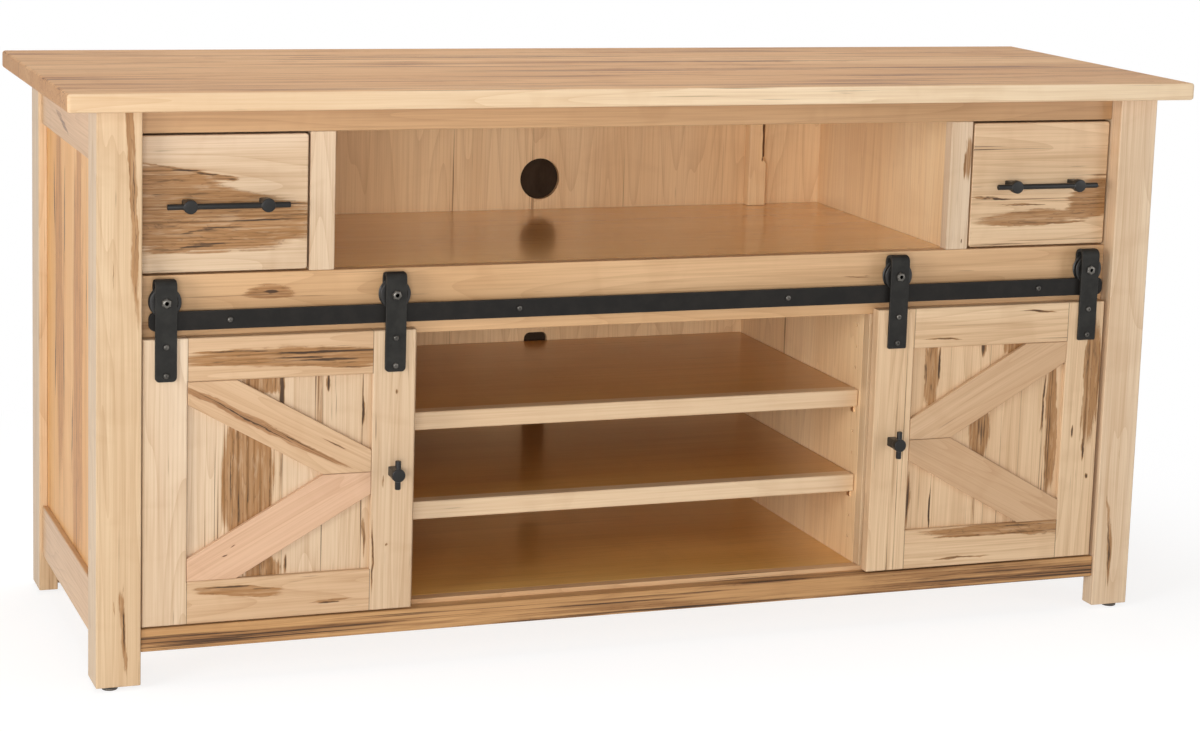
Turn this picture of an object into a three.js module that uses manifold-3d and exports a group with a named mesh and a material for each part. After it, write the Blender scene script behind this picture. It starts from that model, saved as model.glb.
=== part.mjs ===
// A media console: planked top on four corner legs, panelled ends, two drawers beside an open bay,
// and two barn doors with chevron braces that roll on a flat steel track over shelf bays.
// Millimetres, +Z up, front towards -Y, left end towards -X, floor at Z = 0.
import * as THREE from 'three';
import { mergeVertices } from 'three/addons/utils/BufferGeometryUtils.js';
import Module from 'manifold-3d';

// Sizes of the whole case
const CASE_WIDTH = 1574;
const CASE_DEPTH = 528;
const LEG_HEIGHT = 775;
const TOP_THICK = 25;
const TOP_SIDE_OVERHANG = 43;
const TOP_FRONT_OVERHANG = 31;
const TOP_EDGE_RADIUS = 4;
const TOP_CORNER_RADIUS = 5;

// Clearances and edge breaks
const FIT = 0.3;
const EASE = 1.2;
const SMALL_EASE = 0.6;
const OVERRUN = 2;
const MERGE_TOLERANCE = 0.0001;

// Corner legs, each an L of two boards glued edge to face
const LEG_WIDTH = 60;
const LEG_RETURN = 60;
const LEG_BOARD = 27;
const LEG_SEAM = 0.7;
const GLIDE_HEIGHT = 6;
const GLIDE_RADIUS = 11;
const GLIDE_RIM = 1.5;
const GLIDE_INSET_X = 21;
const GLIDE_INSET_Y = 15;

// Panelled ends
const SIDE_RAIL_HEIGHT = 75;
const SIDE_RAIL_THICK = 22;
const SIDE_RAIL_INSET = 4.5;
const SIDE_CLEARANCE = 55;
const PANEL_THICK = 8;
const PANEL_SETBACK = 8;
const PANEL_TONGUE = 7;

// Face frame, with its rails from the top down
const FRAME_THICK = 19;
const STILE_WIDTH = 34.5;
const APRON_HEIGHT = 34;
const DRAWER_OPENING_HEIGHT = 189;
const DRAWER_OPENING_WIDTH = 231;
const MIDDLE_RAIL_HEIGHT = 91;
const SIDE_BAY_WIDTH = 349;
const SILL_HEIGHT = 37.5;

// Front bottom rail that stands before the face frame
const PLINTH_CLEARANCE = 44.5;
const PLINTH_HEIGHT = 31.5;
const PLINTH_SETBACK = 4;

// Inside of the case
const DECK_THICK = 19;
const DIVIDER_THICK = 19;
const HOUSING_DEPTH = 4;
const BACK_THICK = 8;
const GUIDE_WIDTH = 8;
const GUIDE_HEIGHT = 10;
const GUIDE_PLAY = 0.7;
const CABLE_HOLE_RADIUS = 32;
const CABLE_HOLE_OFFSET = -8;
const CABLE_HOLE_RISE = 47.5;
const SLOT_WIDTH = 38;
const SLOT_RISE = 34;
const SLOT_CORNER = 9.5;
const SLOT_OVER_SHELF = 13;
const BATTEN_INSET = 100;
const BATTEN_WIDTH = 31;
const BATTEN_THICK = 19;

// Adjustable shelves and their pins
const SHELF_THICK = 25.5;
const SHELF_PLAY = 1;
const SHELF_SETBACK = 6;
const PIN_PITCH = 32;
const PIN_RADIUS = 2.5;
const PIN_HOLE_DEPTH = 9;
const PIN_INSET = 16;
const FIRST_PIN_RISE = 35;
const PIN_TOP_MARGIN = 80;
const PIN_REACH = 7;
const PIN_REST_RISE = 8;
const PIN_REST_THICK = 2;
const PIN_REST_WIDTH = 9;
const SHELF_ROW_SHARES = { lower: 0.2, upper: 0.6 };

// Flat track on standoffs
const TRACK_HEIGHT = 25.5;
const TRACK_THICK = 5;
const TRACK_DROP = 46;
const TRACK_END_GAP = 10.5;
const TRACK_END_RADIUS = 9;
const STANDOFF_RADIUS = 4;
const TRACK_BOLTS = 4;
const TRACK_BOLT_INSET = 108.5;
const TRACK_HEAD_RADIUS = 4;
const TRACK_HEAD_HEIGHT = 3;
const TRACK_HEAD_CROWN_SHARES = [0.6, 0.4];

// Barn doors
const DOOR_LAP = 27;
const DOOR_HEAD_GAP = 10;
const DOOR_THICK = 19;
const DOOR_STILE = 60;
const DOOR_RAIL = 59;
const DOOR_FLOOR_GAP = 2.5;
const LEFT_DOOR_GAP = 2;
const RIGHT_DOOR_GAP = 7;
const DOOR_PANEL_THICK = 7;
const BRACE_THICK = 7;
const BRACE_WIDTH = 60;
const BRACE_PITCH_SHARE = 1.05;
const BRACE_GAP = 0.5;

// Strap hangers with grooved wheels
const STRAP_WIDTH = 29;
const STRAP_THICK = 4;
const STRAP_LAP = 57;
const STRAP_TOP_CORNER = 2.5;
const LEFT_STRAP_CORNER = 6;
const RIGHT_STRAP_CORNER = 2;
const STRAP_LOOP_CLEARANCE = 5;
const STRAP_TAIL = 12;
const WHEEL_RADIUS = 21.5;
const WHEEL_TREAD_RADIUS = 13.5;
const WHEEL_WIDTH = 11;
const WHEEL_SIDE_PLAY = 1.3;
const WHEEL_GROOVE = 6.4;
const WHEEL_RIM_CHAMFER = 1.2;
const WHEEL_FLANGE_EDGE = 1.3;
const AXLE_RADIUS = 4;
const AXLE_HEAD_RADIUS = 7;
const AXLE_HEAD_HEIGHT = 4.5;
const AXLE_HEAD_TAPER_SHARE = 0.7;
const NUT_RADIUS = 7;
const NUT_THICK = 3.5;
const NUT_BACK_GAP = 2.2;

// Drawers
const DRAWER_GAP = 3;
const DRAWER_FRONT_CORNER = 4;
const DRAWER_HEADROOM = 39;
const DRAWER_BACK_GAP = 36;
const DRAWER_BOX_WALL = 12;
const DRAWER_BOTTOM_THICK = 6;
const DRAWER_BOTTOM_RISE = 10;
const DRAWER_SIDE_PLAY = 5;

// Bar pulls on the drawers and bar knobs on the doors
const BAR_RADIUS = 4;
const BAR_END_CHAMFER = 0.8;
const PULL_LENGTH = 165;
const PULL_POST_PITCH = 104;
const PULL_REACH = 24;
const KNOB_LENGTH = 40;
const KNOB_REACH = 26;
const POST_WIDTH = 13;
const POST_CORNER = 1.5;
const HEAD_RADIUS = 9.4;
const HEAD_FRONT = 5.2;
const HEAD_BACK = 5.5;
const HEAD_CHAMFER = 1.4;

// Facets round a full turn
const WHEEL_FACETS = 28;
const FACETS = 18;
const SMALL_FACETS = 8;
const HEX_FACETS = 6;
const CORNER_STEPS = 3;
const HOLE_STEPS = 5;

// Heights above the floor
const LEG_FOOT = GLIDE_HEIGHT;
const CASE_TOP = LEG_FOOT + LEG_HEIGHT;
const APRON_FOOT = CASE_TOP - APRON_HEIGHT;
const MIDDLE_LEVEL = APRON_FOOT - DRAWER_OPENING_HEIGHT;
const MIDDLE_RAIL_FOOT = MIDDLE_LEVEL - MIDDLE_RAIL_HEIGHT;
const PLINTH_FOOT = LEG_FOOT + PLINTH_CLEARANCE;
const PLINTH_TOP = PLINTH_FOOT + PLINTH_HEIGHT;
const BOTTOM_LEVEL = PLINTH_FOOT + SILL_HEIGHT;
const DIVIDER_TOP = MIDDLE_LEVEL - DECK_THICK - FIT;
const FIRST_PIN_LEVEL = BOTTOM_LEVEL + FIRST_PIN_RISE;
const PIN_STEPS = Math.floor((DIVIDER_TOP - PIN_TOP_MARGIN - FIRST_PIN_LEVEL) / PIN_PITCH);
const TRACK_TOP = MIDDLE_LEVEL - TRACK_DROP;
const TRACK_MIDDLE = TRACK_TOP - TRACK_HEIGHT / 2;
const DOOR_FOOT = PLINTH_TOP + DOOR_FLOOR_GAP;
const DOOR_HEIGHT = TRACK_TOP - TRACK_HEIGHT - DOOR_HEAD_GAP - DOOR_FOOT;
const AXLE_LEVEL = TRACK_TOP + WHEEL_TREAD_RADIUS;

// Places from the left end of the case and from the legs' front plane, with Y = 0 under the top's middle
const LEFT = -CASE_WIDTH / 2;
const FRONT = (TOP_FRONT_OVERHANG - CASE_DEPTH) / 2;
const BACK = FRONT + CASE_DEPTH;
const FRAME_FRONT = FRONT + LEG_BOARD;
const INSIDE_FRONT = FRAME_FRONT + FRAME_THICK + FIT;
const BACK_FACE = BACK - LEG_BOARD - FIT - BACK_THICK;
const INSIDE_BACK = BACK_FACE - FIT;
const INSIDE_LEFT = LEFT + LEG_BOARD + FIT;
const OPENING_LEFT = LEFT + LEG_WIDTH;
const DRAWER_STILE_LEFT = OPENING_LEFT + DRAWER_OPENING_WIDTH;
const SHELF_STILE_LEFT = OPENING_LEFT + SIDE_BAY_WIDTH;
const UPPER_DIVIDER_LEFT = DRAWER_STILE_LEFT + (STILE_WIDTH - DIVIDER_THICK) / 2;
const LOWER_DIVIDER_LEFT = SHELF_STILE_LEFT + STILE_WIDTH - DIVIDER_THICK;
const BATTEN_LEFT = -UPPER_DIVIDER_LEFT - DIVIDER_THICK - BATTEN_INSET - BATTEN_WIDTH;
const DOOR_WIDTH = SIDE_BAY_WIDTH + DOOR_LAP - LEFT_DOOR_GAP;

// The strap's loop, the track inside it and the door behind its front leg
const STRAP_INNER = WHEEL_WIDTH / 2 + WHEEL_SIDE_PLAY;
const STRAP_OUTER = STRAP_INNER + STRAP_THICK;
const TRACK_AXIS_Y = FRAME_FRONT - NUT_BACK_GAP - NUT_THICK - STRAP_OUTER;
const TRACK_FRONT = TRACK_AXIS_Y - TRACK_THICK / 2;
const DOOR_FRONT = TRACK_AXIS_Y - STRAP_INNER + FIT;
const DRAWER_BOX_LEFT = OPENING_LEFT + DRAWER_SIDE_PLAY;
const DRAWER_BOX_WIDTH = DRAWER_OPENING_WIDTH - DRAWER_SIDE_PLAY * 2;
const DRAWER_BOX_HEIGHT = DRAWER_OPENING_HEIGHT - DRAWER_HEADROOM;
const DRAWER_BOX_BACK = INSIDE_BACK - DRAWER_BACK_GAP;

const WOOD = new THREE.MeshStandardMaterial({ color: 0xd9b98f, roughness: 0.45, metalness: 0 });
const TOP_WOOD = new THREE.MeshStandardMaterial({ color: 0xcda47c, roughness: 0.35, metalness: 0 });
const INNER_WOOD = new THREE.MeshStandardMaterial({ color: 0xb98a58, roughness: 0.35, metalness: 0 });
const DARK_WOOD = new THREE.MeshStandardMaterial({ color: 0xb58550, roughness: 0.45, metalness: 0 });
const BLACK_STEEL = new THREE.MeshStandardMaterial({ color: 0x2c2c2c, roughness: 0.5, metalness: 0.8 });
const BLACK_PLASTIC = new THREE.MeshStandardMaterial({ color: 0x1c1c1c, roughness: 0.7, metalness: 0 });

const wasm = await Module();
wasm.setup();

// Solid modelling helpers
function weld(geometry) {
  const bare = geometry.clone();
  bare.deleteAttribute('normal');
  bare.deleteAttribute('uv');
  return mergeVertices(bare, MERGE_TOLERANCE);
}

function toSolid(geometry) {
  const merged = weld(geometry);
  return new wasm.Manifold(new wasm.Mesh({
    numProp: 3,
    vertProperties: new Float32Array(merged.attributes.position.array),
    triVerts: new Uint32Array(merged.index.array),
  }));
}

function toGeometry(solid) {
  const mesh = solid.getMesh();
  const geometry = new THREE.BufferGeometry();
  geometry.setAttribute('position', new THREE.BufferAttribute(new Float32Array(mesh.vertProperties), 3));
  geometry.setIndex(new THREE.BufferAttribute(new Uint32Array(mesh.triVerts), 1));
  geometry.computeVertexNormals();
  return geometry;
}

function unite(geometries) {
  return toGeometry(geometries.map(toSolid).reduce((sum, next) => sum.add(next)));
}

function cut(body, tools) {
  return toGeometry(tools.map(toSolid).reduce((rest, tool) => rest.subtract(tool), toSolid(body)));
}

function intersect(first, second) {
  return toGeometry(toSolid(first).intersect(toSolid(second)));
}

// A straight outline through [x, y] points
function outline(points) {
  return new THREE.Shape(points.map(([x, y]) => new THREE.Vector2(x, y)));
}

// A rectangle with its corners cut at 45 degrees
function chamferedRectangle(width, depth, chamfer) {
  return outline([
    [chamfer, 0],
    [width - chamfer, 0],
    [width, chamfer],
    [width, depth - chamfer],
    [width - chamfer, depth],
    [chamfer, depth],
    [0, depth - chamfer],
    [0, chamfer],
  ]);
}

// A rectangle with round corners, as a shape or as a hole
function roundRectangle(x, y, width, height, radius, Kind = THREE.Shape) {
  const path = new Kind();
  path.moveTo(x + radius, y);
  path.lineTo(x + width - radius, y);
  path.absarc(x + width - radius, y + radius, radius, -Math.PI / 2, 0, false);
  path.lineTo(x + width, y + height - radius);
  path.absarc(x + width - radius, y + height - radius, radius, 0, Math.PI / 2, false);
  path.lineTo(x + radius, y + height);
  path.absarc(x + radius, y + height - radius, radius, Math.PI / 2, Math.PI, false);
  path.lineTo(x, y + radius);
  path.absarc(x + radius, y + radius, radius, Math.PI, Math.PI * 1.5, false);
  return path;
}

// An outline pushed up by a height, with its end edges eased
function extrude(shape, height, ease = 0, easeSteps = 1) {
  return new THREE.ExtrudeGeometry(shape, {
    depth: height - ease * 2,
    curveSegments: CORNER_STEPS,
    bevelEnabled: ease > 0,
    bevelThickness: ease,
    bevelSize: ease,
    bevelOffset: -ease,
    bevelSegments: easeSteps,
  }).translate(0, 0, ease);
}

// An outline drawn on the front plane (x, z), pushed back from y by a thickness
function extrudeBack(shape, thickness, y, ease = 0) {
  return extrude(shape, thickness, ease).rotateX(Math.PI / 2).translate(0, y + thickness, 0);
}

// A plain block between two corners
function block(low, high) {
  const size = low.map((value, axis) => high[axis] - value);
  return new THREE.BoxGeometry(...size)
    .translate(...low.map((value, axis) => value + size[axis] / 2));
}

// A board between two corners with every edge eased
function board(low, high, ease = EASE) {
  const size = low.map((value, axis) => high[axis] - value);
  return extrude(chamferedRectangle(size[0], size[1], ease), size[2], ease).translate(...low);
}

// A round bar along Y from y0 to y1
function rodAlongY(radius, x, y0, y1, z, facets = SMALL_FACETS) {
  return new THREE.CylinderGeometry(radius, radius, y1 - y0, facets).translate(x, (y0 + y1) / 2, z);
}

// A profile of [radius, place] points turned about the Y axis
function turn(profile, facets = FACETS) {
  return new THREE.LatheGeometry(profile.map(([x, y]) => new THREE.Vector2(x, y)), facets);
}

// The same geometry on the other end of the case, with its triangles turned to face out again
function mirrorX(geometry) {
  const mirrored = weld(geometry).scale(-1, 1, 1);
  const order = mirrored.index.array;
  for (let start = 0; start < order.length; start += 3) {
    [order[start], order[start + 1]] = [order[start + 1], order[start]];
  }
  mirrored.computeVertexNormals();
  return mirrored;
}

// The same geometry at the back of the case, turned half round about the case's middle
function turnRound(geometry) {
  return geometry.clone().rotateZ(Math.PI).translate(0, FRONT + BACK, 0);
}

const assembly = new THREE.Group();

function add(name, geometry, material) {
  const mesh = new THREE.Mesh(geometry, material);
  mesh.name = name;
  assembly.add(mesh);
}

function addPair(stem, leftGeometry, material) {
  add(`${stem}_left`, leftGeometry, material);
  add(`${stem}_right`, mirrorX(leftGeometry), material);
}

// Top of glued boards
function addTop() {
  const width = CASE_WIDTH + TOP_SIDE_OVERHANG * 2;
  const depth = CASE_DEPTH + TOP_FRONT_OVERHANG;
  const shape = roundRectangle(0, 0, width, depth, TOP_CORNER_RADIUS);
  const geometry = extrude(shape, TOP_THICK, TOP_EDGE_RADIUS, CORNER_STEPS)
    .translate(-width / 2, FRONT - TOP_FRONT_OVERHANG, CASE_TOP + FIT);
  add('top', geometry, TOP_WOOD);
}

// Corner legs: a front board, a return board glued behind it, and the groove for the end panel
function legSolid() {
  const profile = outline([
    [EASE, 0],
    [LEG_WIDTH - EASE, 0],
    [LEG_WIDTH, EASE],
    [LEG_WIDTH, LEG_BOARD],
    [LEG_BOARD, LEG_BOARD],
    [LEG_BOARD, LEG_RETURN],
    [EASE, LEG_RETURN],
    [0, LEG_RETURN - EASE],
    [0, LEG_BOARD + LEG_SEAM],
    [LEG_SEAM, LEG_BOARD],
    [0, LEG_BOARD - LEG_SEAM],
    [0, EASE],
  ]);
  const leg = extrude(profile, LEG_HEIGHT, SMALL_EASE).translate(LEFT, FRONT, LEG_FOOT);
  const groove = block(
    [panelLeft() - FIT, FRONT + LEG_RETURN - PANEL_TONGUE - FIT, panelFoot() - FIT],
    [panelLeft() + PANEL_THICK + FIT, FRONT + LEG_RETURN + OVERRUN, panelTop() + FIT],
  );
  return cut(leg, [groove]);
}

function addLegs() {
  const frontLeft = legSolid();
  const frontRight = mirrorX(frontLeft);
  add('leg_front_left', frontLeft, WOOD);
  add('leg_front_right', frontRight, WOOD);
  add('leg_back_left', turnRound(frontRight), WOOD);
  add('leg_back_right', turnRound(frontLeft), WOOD);
}

function addGlides() {
  const profile = [
    [0, 0],
    [GLIDE_RADIUS - GLIDE_RIM, 0],
    [GLIDE_RADIUS, GLIDE_RIM],
    [GLIDE_RADIUS, GLIDE_HEIGHT - FIT],
    [0, GLIDE_HEIGHT - FIT],
  ];
  const glide = turn(profile, FACETS).rotateX(Math.PI / 2);
  const places = {
    front_left: [1, 1],
    front_right: [-1, 1],
    back_left: [1, -1],
    back_right: [-1, -1],
  };
  for (const [name, [sideX, sideY]] of Object.entries(places)) {
    const x = sideX * (LEFT + GLIDE_INSET_X);
    const y = sideY > 0 ? FRONT + GLIDE_INSET_Y : BACK - GLIDE_INSET_Y;
    add(`glide_${name}`, glide.clone().translate(x, y, 0), BLACK_PLASTIC);
  }
}

// Panelled ends: two rails between the legs and a thin panel in grooves
function panelLeft() {
  return LEFT + SIDE_RAIL_INSET + PANEL_SETBACK;
}

function panelFoot() {
  return LEG_FOOT + SIDE_CLEARANCE + SIDE_RAIL_HEIGHT - PANEL_TONGUE;
}

function panelTop() {
  return CASE_TOP - SIDE_RAIL_HEIGHT + PANEL_TONGUE;
}

function sideRail(foot) {
  const low = [LEFT + SIDE_RAIL_INSET, FRONT + LEG_RETURN + FIT, foot];
  const high = [low[0] + SIDE_RAIL_THICK, BACK - LEG_RETURN - FIT, foot + SIDE_RAIL_HEIGHT];
  return board(low, high);
}

function addEnds() {
  const groove = block(
    [panelLeft() - FIT, FRONT + LEG_RETURN - OVERRUN, panelFoot() - FIT],
    [panelLeft() + PANEL_THICK + FIT, BACK - LEG_RETURN + OVERRUN, panelTop() + FIT],
  );
  addPair('side_rail_top', cut(sideRail(CASE_TOP - SIDE_RAIL_HEIGHT), [groove]), WOOD);
  addPair('side_rail_bottom', cut(sideRail(LEG_FOOT + SIDE_CLEARANCE), [groove]), WOOD);
  const panel = block(
    [panelLeft(), FRONT + LEG_RETURN - PANEL_TONGUE, panelFoot()],
    [panelLeft() + PANEL_THICK, BACK - LEG_RETURN + PANEL_TONGUE, panelTop()],
  );
  addPair('side_panel', panel, WOOD);
}

// Face frame behind the legs' front boards
function frameRail(foot, top) {
  return board(
    [OPENING_LEFT + FIT, FRAME_FRONT, foot],
    [-OPENING_LEFT - FIT, FRAME_FRONT + FRAME_THICK, top],
    SMALL_EASE,
  );
}

function frameStile(left, width, foot, top) {
  return board(
    [left, FRAME_FRONT, foot],
    [left + width, FRAME_FRONT + FRAME_THICK, top],
    SMALL_EASE,
  );
}

function addFaceFrame() {
  add('apron_rail', frameRail(APRON_FOOT, CASE_TOP), WOOD);
  add('middle_rail', frameRail(MIDDLE_RAIL_FOOT, MIDDLE_LEVEL), WOOD);
  add('sill_rail', frameRail(PLINTH_FOOT, BOTTOM_LEVEL), WOOD);
  const endStile = board(
    [LEFT + LEG_BOARD + FIT, FRAME_FRONT + FIT, PLINTH_FOOT],
    [OPENING_LEFT, FRAME_FRONT + FRAME_THICK, CASE_TOP],
    SMALL_EASE,
  );
  addPair('end_stile', endStile, WOOD);
  addPair(
    'drawer_stile',
    frameStile(DRAWER_STILE_LEFT, STILE_WIDTH, MIDDLE_LEVEL + FIT, APRON_FOOT - FIT),
    WOOD,
  );
  addPair(
    'shelf_stile',
    frameStile(SHELF_STILE_LEFT, STILE_WIDTH, BOTTOM_LEVEL + FIT, MIDDLE_RAIL_FOOT - FIT),
    WOOD,
  );
}

function addPlinth() {
  const rail = board(
    [OPENING_LEFT + FIT, FRONT + PLINTH_SETBACK, PLINTH_FOOT],
    [-OPENING_LEFT - FIT, FRAME_FRONT - FIT, PLINTH_TOP],
  );
  add('plinth_rail', rail, DARK_WOOD);
}

// Decks, housed where the dividers stand, with the strips that guide the drawers on the middle one
function deck(level, dividerLeft) {
  const plain = block(
    [INSIDE_LEFT, INSIDE_FRONT, level - DECK_THICK],
    [-INSIDE_LEFT, INSIDE_BACK, level],
  );
  const housing = block(
    [dividerLeft - FIT, INSIDE_FRONT - OVERRUN, level - HOUSING_DEPTH],
    [dividerLeft + DIVIDER_THICK + FIT, INSIDE_BACK + OVERRUN, level + OVERRUN],
  );
  return cut(plain, [housing, mirrorX(housing)]);
}

function drawerGuides() {
  const outer = DRAWER_BOX_LEFT - GUIDE_PLAY - GUIDE_WIDTH;
  const inner = DRAWER_BOX_LEFT + DRAWER_BOX_WIDTH + GUIDE_PLAY;
  return [outer, inner].map((x) => block(
    [x, INSIDE_FRONT, MIDDLE_LEVEL - DECK_THICK / 2],
    [x + GUIDE_WIDTH, INSIDE_BACK, MIDDLE_LEVEL + GUIDE_HEIGHT],
  ));
}

function addDecks() {
  const guides = drawerGuides();
  const middle = deck(MIDDLE_LEVEL, UPPER_DIVIDER_LEFT);
  add('middle_deck', unite([middle, ...guides, ...guides.map(mirrorX)]), INNER_WOOD);
  add('bottom_deck', deck(BOTTOM_LEVEL, LOWER_DIVIDER_LEFT), INNER_WOOD);
}

// Dividers in the decks' housings: the lower ones are drilled for shelf pins and carry the pins in use
function pinLevel(row) {
  return FIRST_PIN_LEVEL + PIN_PITCH * row;
}

function shelfFoot(shelf) {
  return pinLevel(shelfRow(shelf)) + PIN_REST_RISE + FIT;
}

function shelfRow(shelf) {
  return Math.round(PIN_STEPS * SHELF_ROW_SHARES[shelf]);
}

function pinHoles(face, y) {
  const holes = [];
  const length = PIN_HOLE_DEPTH + OVERRUN;
  for (let row = 0; row <= PIN_STEPS; row += 1) {
    holes.push(new THREE.CylinderGeometry(PIN_RADIUS, PIN_RADIUS, length, SMALL_FACETS)
      .rotateZ(Math.PI / 2)
      .translate(face - (PIN_HOLE_DEPTH - OVERRUN) / 2, y, pinLevel(row)));
  }
  return holes;
}

function shelfPin(face, y, shelf) {
  const level = pinLevel(shelfRow(shelf));
  const length = PIN_HOLE_DEPTH + PIN_REST_THICK;
  const peg = new THREE.CylinderGeometry(PIN_RADIUS, PIN_RADIUS, length, SMALL_FACETS)
    .rotateZ(Math.PI / 2)
    .translate(face - (PIN_HOLE_DEPTH - PIN_REST_THICK) / 2, y, level);
  const rest = block(
    [face - FIT, y - PIN_REST_WIDTH / 2, level + PIN_REST_RISE - PIN_REST_THICK],
    [face + PIN_REACH, y + PIN_REST_WIDTH / 2, level + PIN_REST_RISE],
  );
  const plate = block(
    [face - FIT, y - PIN_REST_WIDTH / 2, level - PIN_RADIUS],
    [face + PIN_REST_THICK, y + PIN_REST_WIDTH / 2, level + PIN_REST_RISE],
  );
  return [peg, rest, plate];
}

function addDividers() {
  const upper = block(
    [UPPER_DIVIDER_LEFT, INSIDE_FRONT, MIDDLE_LEVEL - HOUSING_DEPTH + FIT],
    [UPPER_DIVIDER_LEFT + DIVIDER_THICK, INSIDE_BACK, CASE_TOP],
  );
  addPair('upper_divider', upper, INNER_WOOD);
  const plain = block(
    [LOWER_DIVIDER_LEFT, INSIDE_FRONT, BOTTOM_LEVEL - HOUSING_DEPTH + FIT],
    [LOWER_DIVIDER_LEFT + DIVIDER_THICK, INSIDE_BACK, DIVIDER_TOP],
  );
  const face = LOWER_DIVIDER_LEFT + DIVIDER_THICK;
  const columns = [shelfFront() + PIN_INSET, INSIDE_BACK - PIN_INSET - SHELF_PLAY];
  const drilled = cut(plain, columns.flatMap((y) => pinHoles(face, y)));
  const shelves = Object.keys(SHELF_ROW_SHARES);
  const pins = columns.flatMap((y) => shelves.flatMap((shelf) => shelfPin(face, y, shelf)));
  addPair('lower_divider', unite([drilled, ...pins]), INNER_WOOD);
}

// Back panel with a round cable hole in the open bay and a long cable slot behind the shelves,
// and the upright batten that stiffens it in the open bay
function addBack() {
  const left = INSIDE_LEFT;
  const foot = BOTTOM_LEVEL - DECK_THICK;
  const shape = outline([
    [left, foot],
    [-left, foot],
    [-left, CASE_TOP],
    [left, CASE_TOP],
  ]);
  const hole = roundRectangle(
    CABLE_HOLE_OFFSET - CABLE_HOLE_RADIUS,
    MIDDLE_LEVEL + CABLE_HOLE_RISE - CABLE_HOLE_RADIUS,
    CABLE_HOLE_RADIUS * 2,
    CABLE_HOLE_RADIUS * 2,
    CABLE_HOLE_RADIUS,
    THREE.Path,
  );
  const slotFoot = BOTTOM_LEVEL + SLOT_RISE;
  const slot = roundRectangle(
    CABLE_HOLE_OFFSET - SLOT_WIDTH / 2,
    slotFoot,
    SLOT_WIDTH,
    shelfFoot('upper') + SHELF_THICK + SLOT_OVER_SHELF - slotFoot,
    SLOT_CORNER,
    THREE.Path,
  );
  shape.holes.push(slot, hole);
  const panel = new THREE.ExtrudeGeometry(shape, {
    depth: BACK_THICK,
    curveSegments: HOLE_STEPS,
    bevelEnabled: false,
  }).rotateX(Math.PI / 2).translate(0, BACK_FACE + BACK_THICK, 0);
  add('back_panel', panel, INNER_WOOD);
  const batten = board(
    [BATTEN_LEFT, INSIDE_BACK - BATTEN_THICK, MIDDLE_LEVEL + FIT],
    [BATTEN_LEFT + BATTEN_WIDTH, INSIDE_BACK, CASE_TOP],
    SMALL_EASE,
  );
  add('back_batten', batten, WOOD);
}

// Adjustable shelves on the pins
function shelfFront() {
  return FRAME_FRONT + FRAME_THICK + SHELF_SETBACK;
}

function addShelves() {
  const left = LOWER_DIVIDER_LEFT + DIVIDER_THICK + SHELF_PLAY;
  for (const shelf of Object.keys(SHELF_ROW_SHARES)) {
    const foot = shelfFoot(shelf);
    add(`shelf_${shelf}`, board(
      [left, shelfFront(), foot],
      [-left, INSIDE_BACK - SHELF_PLAY, foot + SHELF_THICK],
    ), WOOD);
  }
}

// Track: a flat bar with round ends, its bolt heads, and the standoffs that hold it off the rail
function addTrack() {
  const left = OPENING_LEFT + TRACK_END_GAP;
  const length = -left * 2;
  const [crown, brim] = TRACK_HEAD_CROWN_SHARES;
  const shape = roundRectangle(left, TRACK_TOP - TRACK_HEIGHT, length, TRACK_HEIGHT, TRACK_END_RADIUS);
  const parts = [extrudeBack(shape, TRACK_THICK, TRACK_FRONT, SMALL_EASE)];
  const pitch = (length - TRACK_BOLT_INSET * 2) / (TRACK_BOLTS - 1);
  for (let index = 0; index < TRACK_BOLTS; index += 1) {
    const x = left + TRACK_BOLT_INSET + pitch * index;
    parts.push(rodAlongY(
      STANDOFF_RADIUS,
      x,
      TRACK_AXIS_Y,
      FRAME_FRONT - FIT,
      TRACK_MIDDLE,
      FACETS,
    ));
    const head = turn([
      [0, -TRACK_HEAD_HEIGHT],
      [TRACK_HEAD_RADIUS * crown, -TRACK_HEAD_HEIGHT],
      [TRACK_HEAD_RADIUS, -TRACK_HEAD_HEIGHT * brim],
      [TRACK_HEAD_RADIUS, TRACK_THICK / 2],
      [0, TRACK_THICK / 2],
    ], SMALL_FACETS).translate(x, TRACK_FRONT, TRACK_MIDDLE);
    parts.push(head);
  }
  add('track', unite(parts), BLACK_STEEL);
}

// Barn doors. Shapes are drawn for the left door from its outer edge and mirrored for the right one.
function doorFrame() {
  const shape = outline([
    [0, 0],
    [DOOR_WIDTH, 0],
    [DOOR_WIDTH, DOOR_HEIGHT],
    [0, DOOR_HEIGHT],
  ]);
  const opening = new THREE.Path([
    new THREE.Vector2(DOOR_STILE, DOOR_RAIL),
    new THREE.Vector2(DOOR_STILE, DOOR_HEIGHT - DOOR_RAIL),
    new THREE.Vector2(DOOR_WIDTH - DOOR_STILE, DOOR_HEIGHT - DOOR_RAIL),
    new THREE.Vector2(DOOR_WIDTH - DOOR_STILE, DOOR_RAIL),
  ]);
  shape.holes.push(opening);
  const frame = extrudeBack(shape, DOOR_THICK, 0, EASE);
  const grooveFront = BRACE_THICK + BRACE_GAP - FIT;
  const groove = block(
    [DOOR_STILE - PANEL_TONGUE - FIT, grooveFront, DOOR_RAIL - PANEL_TONGUE - FIT],
    [
      DOOR_WIDTH - DOOR_STILE + PANEL_TONGUE + FIT,
      grooveFront + DOOR_PANEL_THICK + FIT * 2,
      DOOR_HEIGHT - DOOR_RAIL + PANEL_TONGUE + FIT,
    ],
  );
  return cut(frame, [groove]);
}

function doorPanel() {
  const front = BRACE_THICK + BRACE_GAP;
  const side = DOOR_STILE - PANEL_TONGUE;
  const end = DOOR_RAIL - PANEL_TONGUE;
  return block(
    [side, front, end],
    [DOOR_WIDTH - side, front + DOOR_PANEL_THICK, DOOR_HEIGHT - end],
  );
}

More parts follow.
